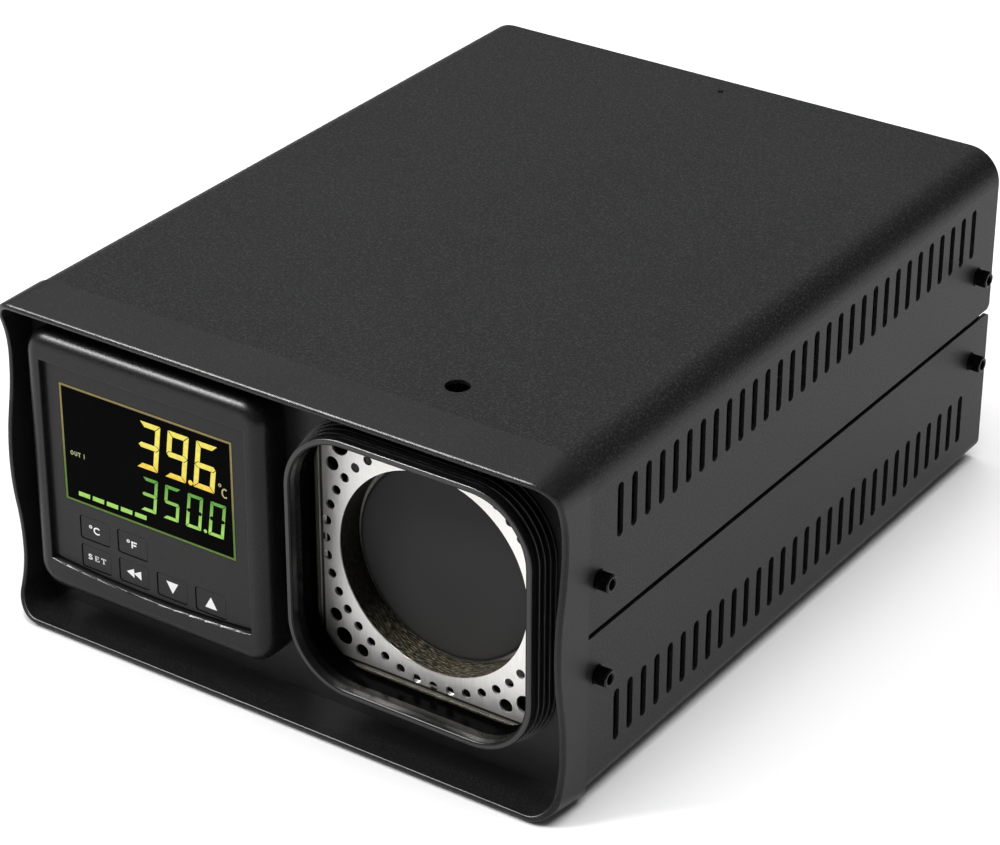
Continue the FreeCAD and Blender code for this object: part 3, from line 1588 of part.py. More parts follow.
def wiring():
    """Mains leads from the inlet to the switch, and control leads from the controller to the relay."""
    tail = inlet_inner - d.blade_tail
    bundle = tail - 3 * d.lead_bend
    switch_inner = rear_back - d.rocker_body_depth
    leads = []
    for index, at in enumerate(blade_places[:2]):
        offset = (index * 2 - 1) * d.rocker_body_width / 4
        leads.append(
            lead(
                f"lead_mains_{index}",
                (at[0], tail, at[1]),
                (at[0], bundle, at[1]),
                (rocker[0] + offset, bundle, rocker[1]),
                (rocker[0] + offset, switch_inner, rocker[1]),
            )
        )
    terminal_end = case_end + d.terminal_depth
    relay_near = relay[1] - d.relay_depth / 2 + d.relay_shelf / 2
    shelf_top = relay_floor + d.relay_rise - d.relay_step
    for index in range(2):
        x = relay[0] + (index * 2 - 1) * d.relay_width / 4
        leads.append(
            lead(
                f"lead_control_{index}",
                (x, terminal_end, controller[1]),
                (x, relay_near, controller[1]),
                (x, relay_near, shelf_top),
            )
        )
    return group("wiring", leads)


nodes = [
    front_frame(),
    top_cover(),
    bottom_cover(),
    rear_panel(),
    *side_hardware(),
    *foot_hardware(),
    cover_rivet(),
    source_collar(),
    heat_shield(),
    source_housing(),
    target_block(),
    backing_disc("mica_heater", (target_back, heater_back)),
    backing_disc("clamp_plate", (heater_back, clamp_back)),
    insulation_jacket(),
    temperature_sensor(),
    *source_hardware(),
    controller_bezel(),
    bezel_gasket(),
    display_window(),
    display_module(),
    *(key(name) for name in key_centres),
    key_switches(),
    controller_board(),
    controller_case(),
    terminal_block(),
    panel_clips(),
    power_inlet(),
    inlet_blades(),
    fuse_drawer(),
    fuses(),
    *rear_hardware(),
    switch_body(),
    power_rocker(),
    fan_frame(),
    fan_rotor(),
    fan_guard(),
    solid_state_relay(),
    relay_screws(),
    wiring(),
]

doc.recompute()

failed = [item.Name for item in doc.Objects if {"Invalid", "Error"} & set(item.State)]
for item in doc.Objects:
    if item.TypeId == "PartDesign::Pocket" and item.Shape.Volume > item.BaseFeature.Shape.Volume - 1e-6:
        failed.append(f"{item.Name} cuts nothing")
for node in nodes:
    if node.Shape.isNull() or not node.Shape.isValid() or not node.Shape.Solids:
        failed.append(f"{node.Label} has no valid solid")
if failed:
    raise RuntimeError("not built: " + ", ".join(failed))

os.makedirs("parts", exist_ok=True)
for node in nodes:
    node.Shape.exportStep(f"parts/{node.Label}.step")
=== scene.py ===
import json
import math

import bmesh
import bpy
from mathutils import Matrix, Vector


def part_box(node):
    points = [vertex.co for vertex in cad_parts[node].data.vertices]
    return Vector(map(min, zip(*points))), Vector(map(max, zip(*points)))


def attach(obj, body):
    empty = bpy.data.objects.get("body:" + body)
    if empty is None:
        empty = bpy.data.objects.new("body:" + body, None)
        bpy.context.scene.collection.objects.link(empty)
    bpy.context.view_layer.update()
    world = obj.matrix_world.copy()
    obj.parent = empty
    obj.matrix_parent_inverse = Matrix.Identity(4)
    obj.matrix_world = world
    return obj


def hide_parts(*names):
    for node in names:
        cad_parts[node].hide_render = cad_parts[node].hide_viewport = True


MM = 0.001

# The source, measured from the middle of its disc or from the front of its shield
# Reach from the disc's middle where the painted shade round its edge begins
EDGE_SHADE_REACH = 30.4 * MM
SLEEVE_REACH = 33.1 * MM
DISH_REACH = 38.5 * MM
HEM_REACH = 40.4 * MM
# Heights below the disc's middle over which the sleeve's painted light fades from its foot upwards
SLEEVE_FOOT = (-31.0 * MM, -20.0 * MM)
SHEET_EDGE = 0.4 * MM
SHEET_GAUGE = 0.85 * MM
TURNED_STRETCH = 6.0 * MM

# The collar, measured from its front face, and the share of each ridge's pitch that carries a painted
# highlight on its edge
COLLAR_LIP = 2.2 * MM
COLLAR_LEDGE = 5.2 * MM
RIDGE_PITCH = 2.0 * MM
RIDGE_EDGE = (0.46, 0.60)

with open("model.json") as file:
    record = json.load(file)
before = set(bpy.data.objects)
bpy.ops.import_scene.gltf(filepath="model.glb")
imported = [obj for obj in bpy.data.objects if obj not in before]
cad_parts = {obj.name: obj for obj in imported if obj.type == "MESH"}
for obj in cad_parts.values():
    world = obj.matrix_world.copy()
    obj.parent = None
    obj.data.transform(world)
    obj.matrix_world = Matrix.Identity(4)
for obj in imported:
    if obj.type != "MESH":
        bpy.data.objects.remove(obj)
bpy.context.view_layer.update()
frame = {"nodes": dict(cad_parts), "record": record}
nodes = frame["nodes"]
record = frame["record"]


def middle(node):
    """Centre of a CAD node's box."""
    low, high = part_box(node)
    return (low + high) / 2


# Camera at the photo's view

IMAGE_WIDTH = 1000
CAMERA_PLACE = Vector((518.7, -770.2, 556.8)) * MM
CAMERA_AZIMUTH = math.radians(34.22)
CAMERA_ELEVATION = math.radians(28.59)
CAMERA_ROLL = math.radians(0.14)
FOCAL_PIXELS = 3340.3
AXIS_SHIFT = (-2.73, -25.69)
SENSOR = 36.0


def add_camera():
    """A long lens that looks down on the right front corner."""
    data = bpy.data.cameras.new("photo_camera")
    data.sensor_width = SENSOR
    data.lens = FOCAL_PIXELS / IMAGE_WIDTH * SENSOR
    data.shift_x = AXIS_SHIFT[0] / IMAGE_WIDTH
    data.shift_y = AXIS_SHIFT[1] / IMAGE_WIDTH
    data.clip_start = 0.05
    data.clip_end = 50
    camera = bpy.data.objects.new("photo_camera", data)
    bpy.context.scene.collection.objects.link(camera)
    back = Vector(
        (
            math.sin(CAMERA_AZIMUTH) * math.cos(CAMERA_ELEVATION),
            -math.cos(CAMERA_AZIMUTH) * math.cos(CAMERA_ELEVATION),
            math.sin(CAMERA_ELEVATION),
        )
    )
    right = Vector((math.cos(CAMERA_AZIMUTH), math.sin(CAMERA_AZIMUTH), 0))
    up = back.cross(right)
    turn = Matrix((right, up, back)).transposed() @ Matrix.Rotation(CAMERA_ROLL, 3, "Z")
    camera.matrix_world = Matrix.Translation(CAMERA_PLACE) @ turn.to_4x4()
    bpy.context.scene.camera = camera


# Materials


class Finish:
    """A Principled material whose colour, roughness and bump come from noise measured in metres."""

    def __init__(self, name, metallic=0.0, **sockets):
        self.material = bpy.data.materials.new(name)
        self.material.use_nodes = True
        self.tree = self.material.node_tree
        self.shader = self.tree.nodes["Principled BSDF"]
        self.shader.inputs["Metallic"].default_value = metallic
        for socket, value in sockets.items():
            self.shader.inputs[socket.replace("_", " ")].default_value = value
        self.place = self.node("ShaderNodeTexCoord").outputs["Object"]
        self.relief = None

    def node(self, kind, **settings):
        """A new shader node with some of its properties set."""
        item = self.tree.nodes.new(kind)
        for name, value in settings.items():
            setattr(item, name, value)
        return item

    def feed(self, socket, value):
        """Links an output to a socket, or sets a plain value on it."""
        if isinstance(value, bpy.types.NodeSocket):
            self.tree.links.new(value, socket)
        else:
            socket.default_value = value

    def stretched(self, stretch):
        """The place in the object, scaled on each axis."""
        mapping = self.node("ShaderNodeMapping")
        mapping.inputs["Scale"].default_value = stretch
        self.feed(mapping.inputs["Vector"], self.place)
        return mapping.outputs["Vector"]

    def noise(self, scale, detail=3.0, stretch=None, place=None):
        """Noise from 0 to 1, with about this many features to the metre."""
        item = self.node("ShaderNodeTexNoise")
        item.inputs["Scale"].default_value = scale
        item.inputs["Detail"].default_value = detail
        self.feed(item.inputs["Vector"], self.stretched(stretch) if stretch else place or self.place)
        return item.outputs["Fac"]

    def cells(self, scale):
        """Rounded cells, with about this many to the metre."""
        item = self.node("ShaderNodeTexVoronoi")
        item.inputs["Scale"].default_value = scale
        self.feed(item.inputs["Vector"], self.place)
        return item.outputs

    def along(self, axis):
        """The place along one axis, in metres."""
        item = self.node("ShaderNodeSeparateXYZ")
        self.feed(item.inputs["Vector"], self.place)
        return item.outputs[axis]

    def from_middle(self, node):
        """The place to the right of a node's centre, above it and away from it, in metres."""
        centre = middle(node)
        across = self.maths("SUBTRACT", self.along("X"), centre.x)
        upward = self.maths("SUBTRACT", self.along("Z"), centre.z)
        squares = [self.maths("POWER", side, 2.0) for side in (across, upward)]
        return across, upward, self.maths("SQRT", self.maths("ADD", *squares))

    def maths(self, operation, *values):
        """One sum on outputs or plain values."""
        item = self.node("ShaderNodeMath", operation=operation)
        for socket, value in zip(item.inputs, values):
            self.feed(socket, value)
        return item.outputs["Value"]

    def over(self, value, limit):
        """1 where a value is above a limit, and 0 elsewhere."""
        return self.maths("GREATER_THAN", value, limit)

    def under(self, value, limit):
        """1 where a value is below a limit, and 0 elsewhere."""
        return self.maths("LESS_THAN", value, limit)

    def both(self, first, second):
        """The product of two values, which is 1 where both are 1."""
        return self.maths("MULTIPLY", first, second)

    def opposite(self, value):
        """0 where a value is 1, and 1 where it is 0."""
        return self.maths("SUBTRACT", 1.0, value)

    def ranged(self, value, low, high, start=0.3, stop=0.7):
        """Maps a value from start and stop to low and high."""
        item = self.node("ShaderNodeMapRange")
        for name, number in (("From Min", start), ("From Max", stop), ("To Min", low), ("To Max", high)):
            item.inputs[name].default_value = number
        self.feed(item.inputs["Value"], value)
        return item.outputs["Result"]

    def share(self, value, start=0.3, stop=0.7):
        """How far a value is from start to stop, from 0 to 1."""
        return self.ranged(value, 0.0, 1.0, start, stop)

    def mixed(self, share, first, second):
        """A colour between two, by a share from 0 to 1."""
        item = self.node("ShaderNodeMix", data_type="RGBA")
        self.feed(item.inputs["Factor"], share)
        for socket, colour in ((item.inputs[6], first), (item.inputs[7], second)):
            self.feed(socket, colour if isinstance(colour, bpy.types.NodeSocket) else (*colour, 1.0))
        return item.outputs[2]

    def colour(self, value):
        """Sets the base colour."""
        self.feed(self.shader.inputs["Base Color"], value)

    def rough(self, value, low, high):
        """Sets the roughness from noise, between two limits."""
        self.feed(self.shader.inputs["Roughness"], self.ranged(value, low, high))

    def bump(self, value, height, strength=1.0):
        """Adds relief of a height in metres on top of the relief so far."""
        item = self.node("ShaderNodeBump")
        item.inputs["Strength"].default_value = strength
        item.inputs["Distance"].default_value = height
        self.feed(item.inputs["Height"], value)
        if self.relief is not None:
            self.feed(item.inputs["Normal"], self.relief)
        self.relief = item.outputs["Normal"]
        self.feed(self.shader.inputs["Normal"], self.relief)


def grey(value, warmth=0.0):
    """A near-neutral colour, warm where warmth is positive."""
    return (value * (1 + warmth), value, value * (1 - warmth))


def moulding(name, dark, light, roughness, specular=0.35, grain=2400.0, height=0.007 * MM):
    """Satin moulded plastic: a fine spark-eroded grain and faint flow marks."""
    item = Finish(name, Specular_IOR_Level=specular)
    fine, flow = item.noise(grain, 3.0), item.noise(35.0, 2.0)
    base = item.mixed(item.share(flow), dark, light)
    grain_tops = [3.0 * part for part in light]
    item.colour(item.mixed(item.ranged(fine, 0.0, 0.8, 0.5, 0.75), base, grain_tops))
    item.rough(fine, roughness - 0.05, roughness + 0.07)
    item.bump(flow, 0.02 * MM, 0.4)
    item.bump(fine, height)
    return item.material


def moulded_black():
    return moulding("moulded_black", grey(0.0070), grey(0.0090), 0.33, 0.19, grain=2000.0, height=0.04 * MM)


def bezel_plastic():
    return moulding("bezel_plastic", grey(0.0055), grey(0.0070), 0.31, 0.19, height=0.012 * MM)


def key_plastic():
    return moulding("key_plastic", grey(0.0060), grey(0.0075), 0.36, 0.19, height=0.012 * MM)


def collar_black():
    """The collar: a satin lip, ridges with pale edges painted on as highlights, a dull mouth, painted shade
    darker behind the lip, and painted black shade behind its ledge.
    """
    item = Finish("collar_black")
    front_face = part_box("source_collar")[0].y
    lip_end, ledge = front_face + COLLAR_LIP, front_face + COLLAR_LEDGE
    back = item.along("Y")
    across, upward, _ = item.from_middle("source_collar")
    normal = item.node("ShaderNodeSeparateXYZ")
    item.feed(normal.inputs["Vector"], item.tree.nodes["Texture Coordinate"].outputs["Normal"])
    sideways = item.both(across, normal.outputs["X"])
    outward = item.maths("ADD", sideways, item.both(upward, normal.outputs["Z"]))
    mouth = item.under(outward, -MM)
    # Painted shade: behind its ledge the mouth is painted near-black and loses most of its shine
    shade_behind_ledge = item.both(mouth, item.over(back, ledge))
    # Painted shade: past the lip the base colour darkens and the shine eases off
    depth = item.share(back, lip_end - 0.2 * MM, lip_end + 0.6 * MM)
    past_lip = item.maths("SUBTRACT", back, lip_end)
    # Painted highlight: pale lines on the ridges' edges stand in for the light that their rounded edges catch
    phase = item.maths("FRACT", item.maths("DIVIDE", past_lip, RIDGE_PITCH))
    edge = item.both(item.over(phase, RIDGE_EDGE[0]), item.under(phase, RIDGE_EDGE[1]))
    painted_ridge_highlight = item.both(edge, item.both(item.over(past_lip, 0.0), item.opposite(mouth)))
    fine = item.noise(2400.0, 3.0)
    base = item.mixed(shade_behind_ledge, item.mixed(depth, grey(0.0080), grey(0.0025)), grey(0.0008))
    grained = item.mixed(item.ranged(fine, 0.0, 0.3, 0.5, 0.75), base, grey(0.008))
    pale = item.mixed(item.share(fine), grey(0.20), grey(0.30))
    item.colour(item.mixed(painted_ridge_highlight, grained, pale))
    satin = item.maths("SUBTRACT", item.ranged(depth, 0.45, 0.36, 0.0, 1.0), item.both(mouth, 0.34))
    shine = item.both(satin, item.ranged(shade_behind_ledge, 1.0, 0.08, 0.0, 1.0))
    item.feed(item.shader.inputs["Specular IOR Level"], shine)
    gloss = item.maths("SUBTRACT", item.ranged(fine, 0.30, 0.42), item.both(mouth, 0.14))
    item.feed(item.shader.inputs["Roughness"], gloss)
    item.bump(fine, 0.006 * MM)
    return item.material


def case_plastic():
    return moulding("case_plastic", grey(0.020), grey(0.028), 0.50)


def terminal_plastic():
    return moulding("terminal_plastic", grey(0.05), grey(0.065), 0.45)


def relay_plastic():
    return moulding("relay_plastic", (0.30, 0.295, 0.27), (0.34, 0.335, 0.31), 0.42)


def gloss_black():
    return moulding("gloss_black", grey(0.006), grey(0.009), 0.20, 0.5, height=0.002 * MM)


def powder_black():
    """Powder coat: a pebbled orange-peel relief with paler grain tops."""
    item = Finish("powder_black", Specular_IOR_Level=0.20)
    pebble, speck, cloud = item.noise(1500.0, 3.0), item.noise(3800.0, 2.0), item.noise(14.0, 2.0)
    base = item.mixed(item.share(cloud), grey(0.0070, -0.015), grey(0.0090, -0.015))
    item.colour(item.mixed(item.ranged(pebble, 0.0, 0.9, 0.48, 0.72), base, grey(0.029, -0.015)))
    item.rough(speck, 0.38, 0.50)
    item.bump(cloud, 0.04 * MM, 0.3)
    item.bump(pebble, 0.08 * MM)
    item.bump(speck, 0.01 * MM)
    return item.material


def display_dark():
    """Smoked window: near-black, with a low-glare coat and a trace of wiping marks."""
    item = Finish("display_dark", Specular_IOR_Level=0.01)
    cloud, wipe = item.noise(60.0, 2.0), item.noise(300.0, 3.0, (1.0, 1.0, 0.15))
    item.colour(item.mixed(item.share(cloud), grey(0.0006), grey(0.0012)))
    item.rough(wipe, 0.12, 0.22)
    item.bump(cloud, 0.01 * MM, 0.2)
    return item.material


def brushed(name, dark, light, low, high, stretch, grain=5000.0, height=0.002 * MM):
    """Metal with fine lines drawn along one direction."""
    item = Finish(name, metallic=1.0)
    lines, cloud = item.noise(grain, 2.0, stretch), item.noise(40.0, 2.0)
    item.colour(item.mixed(item.share(lines), dark, light))
    uneven = item.maths("ADD", item.ranged(lines, low, high), item.ranged(cloud, -0.03, 0.03))
    item.feed(item.shader.inputs["Roughness"], uneven)
    item.bump(lines, height)
    return item.material


def stainless():
    """Bright sheet, drawn upright: its stepped border painted dark as shade, a heat tint in its sleeve with
    painted glints growing towards its foot, and painted shade behind.
    """
    item = Finish("stainless", metallic=1.0)
    front_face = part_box("heat_shield")[0].y
    back = item.along("Y")
    across, upward, reach = item.from_middle("target_block")
    spread = item.maths("MAXIMUM", item.maths("ABSOLUTE", across), item.maths("ABSOLUTE", upward))
    in_hole = item.under(reach, SLEEVE_REACH)
    in_sleeve = item.both(in_hole, item.over(back, front_face + SHEET_EDGE))
    in_tray = item.both(item.under(spread, DISH_REACH), item.opposite(in_hole))
    behind = item.both(in_tray, item.over(back, front_face + SHEET_GAUGE))

    round_axis = item.node("ShaderNodeCombineXYZ")
    item.feed(round_axis.inputs["X"], item.both(item.maths("ARCTAN2", upward, across), TURNED_STRETCH))
    item.feed(round_axis.inputs["Y"], back)
    streaks = item.noise(2600.0, 3.0, place=round_axis.outputs["Vector"])
    lines, cloud = item.noise(5000.0, 2.0, (1.0, 1.0, 0.04)), item.noise(40.0, 2.0)

    sheet = item.mixed(item.share(lines), (0.66, 0.65, 0.625), (0.75, 0.74, 0.715))
    # Painted shade: the stepped border is painted dark, where shade falls under the collar's mouth
    border = item.mixed(item.share(lines), (0.055, 0.052, 0.043), (0.12, 0.115, 0.095))
    hemmed = item.mixed(item.share(spread, HEM_REACH, HEM_REACH + 0.2 * MM), border, sheet)
    face = item.mixed(item.share(spread, DISH_REACH, DISH_REACH + 0.3 * MM), sheet, hemmed)
    # Painted light: the sleeve's streaks and the colour between them brighten towards its foot as painted
    # glints over a heat tint
    painted_light_low = item.ranged(upward, 1.0, 0.0, *SLEEVE_FOOT)
    dark_turned = item.mixed(painted_light_low, (0.012, 0.011, 0.008), (0.030, 0.027, 0.017))
    painted_glint_streaks = item.mixed(painted_light_low, (0.08, 0.072, 0.052), (0.75, 0.66, 0.46))
    heat_tint_and_glints = item.mixed(item.share(streaks, 0.48, 0.74), dark_turned, painted_glint_streaks)
    # Painted shade: the back of the dish, seen through the holes, is painted dark
    painted_shade_behind = item.mixed(item.share(cloud), grey(0.020, 0.05), grey(0.040, 0.05))
    item.colour(item.mixed(behind, item.mixed(in_sleeve, face, heat_tint_and_glints), painted_shade_behind))

    item.feed(item.shader.inputs["Metallic"], item.ranged(in_sleeve, 1.0, 0.65, 0.0, 1.0))
    item.rough(item.maths("ADD", lines, item.ranged(cloud, -0.1, 0.1)), 0.38, 0.48)
    item.bump(lines, 0.0008 * MM)
    item.bump(item.both(streaks, in_sleeve), 0.06 * MM)
    return item.material


def shade_dark_sheet():
    """Sheet round the hot source, painted dark in soft clouds to stand for shade."""
    item = Finish("shade_dark_sheet", metallic=1.0)
    lines, cloud = item.noise(4000.0, 2.0, (1.0, 0.1, 1.0)), item.noise(70.0, 3.0)
    shade_clouds = item.mixed(item.share(cloud), (0.016, 0.015, 0.012), (0.040, 0.036, 0.028))
    item.colour(item.mixed(item.ranged(lines, 0.0, 0.5), shade_clouds, (0.070, 0.064, 0.050)))
    item.rough(cloud, 0.34, 0.48)
    item.bump(lines, 0.003 * MM)
    return item.material


def black_steel():
    return brushed("black_steel", (0.012, 0.012, 0.013), (0.035, 0.035, 0.037), 0.30, 0.42, (0.15, 1.0, 1.0))


def zinc_steel():
    return brushed("zinc_steel", (0.50, 0.51, 0.53), (0.66, 0.67, 0.69), 0.26, 0.38, (1.0, 1.0, 0.2))


def guard_wire():
    return brushed("guard_wire", (0.60, 0.60, 0.61), (0.74, 0.74, 0.75), 0.10, 0.18, (1.0, 1.0, 0.3), 2500.0)


def brass():
    return brushed("brass", (0.62, 0.44, 0.17), (0.76, 0.57, 0.27), 0.20, 0.32, (1.0, 0.2, 1.0))


def galvanised():
    """Zinc-coated sheet with faint crystals of slightly different greys."""
    item = Finish("galvanised", metallic=1.0)
    crystals = item.cells(160.0)
    share = item.share(crystals["Color"], 0.0, 1.0)
    item.colour(item.mixed(share, (0.40, 0.41, 0.42), (0.58, 0.59, 0.60)))
    item.rough(crystals["Distance"], 0.34, 0.46)
    item.bump(item.noise(1800.0, 2.0), 0.004 * MM)
    return item.material


def target_coat():
    """Matt heat-proof coating with a fine sprayed grain, and painted shade round the disc's edge."""
    item = Finish("target_coat", Specular_IOR_Level=0.28)
    grain, cloud = item.noise(2600.0, 3.0), item.noise(30.0, 2.0)
    base = item.mixed(item.share(cloud), grey(0.021), grey(0.025))
    coat = item.mixed(item.ranged(grain, 0.0, 0.4), base, grey(0.034))
    # Painted shade: round the disc's edge the coat turns near-black
    reach = item.from_middle("target_block")[2]
    edge_shade = item.share(reach, EDGE_SHADE_REACH, EDGE_SHADE_REACH + 0.6 * MM)
    item.colour(item.mixed(edge_shade, coat, grey(0.003)))
    item.rough(grain, 0.70, 0.84)
    item.bump(grain, 0.006 * MM)
    return item.material


def rubber_black():
    """Dull rubber with a fine, uneven grain."""
    item = Finish("rubber_black", Specular_IOR_Level=0.3)
    grain, cloud = item.noise(1600.0, 4.0), item.noise(90.0, 2.0)
    item.colour(item.mixed(item.share(cloud), grey(0.010), grey(0.018)))
    item.rough(grain, 0.68, 0.86)
    item.bump(grain, 0.01 * MM)
    return item.material


def lead_sleeve():
    """Red insulation of the inner leads."""
    item = Finish("lead_sleeve")
    grain, cloud = item.noise(1500.0, 2.0), item.noise(60.0, 2.0)
    item.colour(item.mixed(item.share(cloud), (0.24, 0.012, 0.010), (0.34, 0.022, 0.016)))
    item.rough(grain, 0.38, 0.52)
    item.bump(grain, 0.004 * MM)
    return item.material


def mica():
    """Layered mica sheet: pale flakes with a silky gloss."""
    item = Finish("mica")
    flakes = item.cells(420.0)
    share = item.share(flakes["Color"], 0.0, 1.0)
    item.colour(item.mixed(share, (0.36, 0.31, 0.22), (0.55, 0.50, 0.40)))
    item.rough(flakes["Distance"], 0.28, 0.50)
    item.bump(flakes["Distance"], 0.02 * MM, 0.5)
    return item.material


def felt():
    """Ceramic-fibre felt: matted off-white fibres."""
    item = Finish("felt", Sheen_Weight=0.3)
    fibres, tufts = item.noise(1200.0, 6.0, (1.0, 0.25, 1.0)), item.noise(150.0, 4.0)
    item.colour(item.mixed(item.share(fibres), (0.62, 0.60, 0.55), (0.82, 0.81, 0.77)))
    item.rough(fibres, 0.85, 0.98)
    item.bump(tufts, 0.4 * MM, 0.6)
    item.bump(fibres, 0.08 * MM)
    return item.material


def board_green():
    """Solder mask over a faint pattern of copper."""
    item = Finish("board_green", Specular_IOR_Level=0.6)
    tracks = item.share(item.noise(420.0, 0.0), 0.48, 0.52)
    item.colour(item.mixed(tracks, (0.012, 0.10, 0.04), (0.022, 0.17, 0.065)))
    item.rough(item.noise(1500.0, 2.0), 0.26, 0.36)
    item.bump(tracks, 0.03 * MM, 0.6)
    return item.material


def fuse_glass():
    """Clear tube, with plated caps towards both ends."""
    item = Finish("fuse_glass")
    low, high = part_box("fuses")
    cap_length = 5.0 * MM
    centre, half = (low.x + high.x) / 2, (high.x - low.x) / 2
    reach = item.maths("ABSOLUTE", item.maths("SUBTRACT", item.along("X"), centre))
    cap = item.over(reach, half - cap_length)
    lines = item.noise(3000.0, 2.0, (0.1, 1.0, 1.0))
    plate = item.mixed(item.share(lines), (0.60, 0.60, 0.61), (0.75, 0.75, 0.76))
    item.colour(item.mixed(cap, (0.86, 0.91, 0.90), plate))
    item.feed(item.shader.inputs["Metallic"], cap)
    item.feed(item.shader.inputs["Transmission Weight"], item.opposite(cap))
    item.rough(lines, 0.05, 0.16)
    item.bump(lines, 0.002 * MM)
    return item.material


def white_ink():
    """Screen-printed legends: matt white with a faintly uneven film."""
    item = Finish("white_ink", Specular_IOR_Level=0.3)
    film = item.noise(2500.0, 2.0)
    item.colour(item.mixed(item.share(film), grey(0.74), grey(0.84)))
    item.rough(film, 0.50, 0.66)
    item.bump(film, 0.002 * MM)
    return item.material


def glow(name, low_colour, high_colour, start, stop):
    """Light that runs from one colour to another between two heights, with the unevenness of diodes."""
    item = Finish(name, Specular_IOR_Level=0.05)
    spots = item.noise(900.0, 1.0)
    item.colour(item.mixed(item.share(spots), grey(0.004), grey(0.008)))
    item.rough(spots, 0.4, 0.5)
    lit = item.mixed(item.share(item.along("Z"), start, stop), low_colour, high_colour)
    item.feed(item.shader.inputs["Emission Color"], lit)
    item.feed(item.shader.inputs["Emission Strength"], item.ranged(spots, 0.9, 1.08))
    return item.material


FINISHES = {
    finish.__name__: finish()
    for finish in (
        moulded_black,
        powder_black,
        bezel_plastic,
        key_plastic,
        display_dark,
        stainless,
        target_coat,
        black_steel,
        zinc_steel,
        galvanised,
        brass,
        rubber_black,
        mica,
        felt,
        board_green,
        case_plastic,
        terminal_plastic,
        relay_plastic,
        gloss_black,
        fuse_glass,
        guard_wire,
        lead_sleeve,
    )
}

for subpart in record["subparts"]:
    node = nodes[subpart["node"]]
    node.data.materials.clear()
    node.data.materials.append(FINISHES[subpart["material_slot"]])
nodes["source_collar"].data.materials[0] = collar_black()
# The housing gets a sheet painted dark as shade
nodes["source_housing"].data.materials[0] = shade_dark_sheet()


SHARP_ANGLE = math.radians(40)


def soften(node, width, segments, harden):
    """Rounds a node's sharp edges a little, so that they catch the light."""
    bevel = nodes[node].modifiers.new("soft_edges", "BEVEL")
    bevel.width = width
    bevel.segments = segments
    bevel.limit_method = "ANGLE"
    bevel.angle_limit = SHARP_ANGLE
    bevel.harden_normals = harden


soften("source_collar", 0.22 * MM, segments=2, harden=True)
soften("controller_bezel", 0.35 * MM, segments=3, harden=False)


# Flat shapes, drawn in millimetres to the right and up, that lie on a face. A mitre is limited by its cosine,
# and a face looks backwards by how far its normal goes along Y.

MITRE_LIMIT = 0.4
REARWARD = 0.9


def arc(centre, radii, start, stop, steps=16):
    """Points round part of an ellipse, from one angle to another in degrees."""
    angles = [math.radians(start + (stop - start) * step / steps) for step in range(steps + 1)]
    return [
        Vector((centre[0] + radii[0] * math.cos(angle), centre[1] + radii[1] * math.sin(angle)))
        for angle in angles
    ]


def stroke(points, width, closed=False):
    """The two edges of a pen stroke along points."""
    points = [Vector(point) for point in points]
    count = len(points)
    left, right = [], []
    for index, point in enumerate(points):
        before = points[index - 1] if closed or index else point
        after = points[(index + 1) % count] if closed or index < count - 1 else point
        ways = [way.normalized() for way in (point - before, after - point) if way.length > 0]
        normals = [Vector((-way.y, way.x)) for way in ways]
        mitre = sum(normals, Vector((0, 0))).normalized()
        reach = width / 2 / max(mitre.dot(normals[0]), MITRE_LIMIT)
        left.append(point + mitre * reach)
        right.append(point - mitre * reach)
    return left, right, closed


def polygon(points):
    """Corners as vectors."""
    return [Vector(point) for point in points]


def lean(shape, slope):
    """Slants a polygon to the right."""
    return [Vector((point.x + point.y * slope, point.y)) for point in shape]


def moved(shape, x, y):
    """A polygon or a stroke, shifted to the right and up."""
    if isinstance(shape, tuple):
        left, right, closed = shape
        return moved(left, x, y), moved(right, x, y), closed
    return [point + Vector((x, y)) for point in shape]


def facing(origin, out):
    """Axes on a face at an origin: to its right, up it and out of it."""
    right = Vector((0, 0, 1)).cross(out).normalized()
    up = out.cross(right).normalized()
    turn = Matrix((right, up, out)).transposed()
    return Matrix.Translation(origin) @ turn.to_4x4()


def front_of(node):
    """Axes on the front of a node, at the middle of its box."""
    centre = middle(node)
    return facing(Vector((centre.x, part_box(node)[0].y, centre.z)), Vector((0, -1, 0)))


def rear_flats(node):
    """Axes on the two largest flats of a node that look backwards, the inner one first."""
    flats = {}
    for face in nodes[node].data.polygons:
        if face.normal.y > REARWARD:
            flats.setdefault(round(face.normal.z, 2), []).append(face)
    largest = sorted(flats.values(), key=lambda faces: sum(face.area for face in faces))[-2:]
    places = []
    for faces in largest:
        area = sum(face.area for face in faces)
        centre = sum((face.center * face.area for face in faces), Vector()) / area
        places.append(facing(centre, faces[0].normal))
    return sorted(places, key=lambda place: place.translation.y)


def add_piece(name, build, material, body):
    """Turns a built mesh into a piece that rides on a body."""
    bmesh.ops.recalc_face_normals(build, faces=build.faces)
    mesh = bpy.data.meshes.new(name)
    build.to_mesh(mesh)
    build.free()
    mesh.materials.append(material)
    piece = bpy.data.objects.new(name, mesh)
    bpy.context.scene.collection.objects.link(piece)
    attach(piece, body)
    return piece


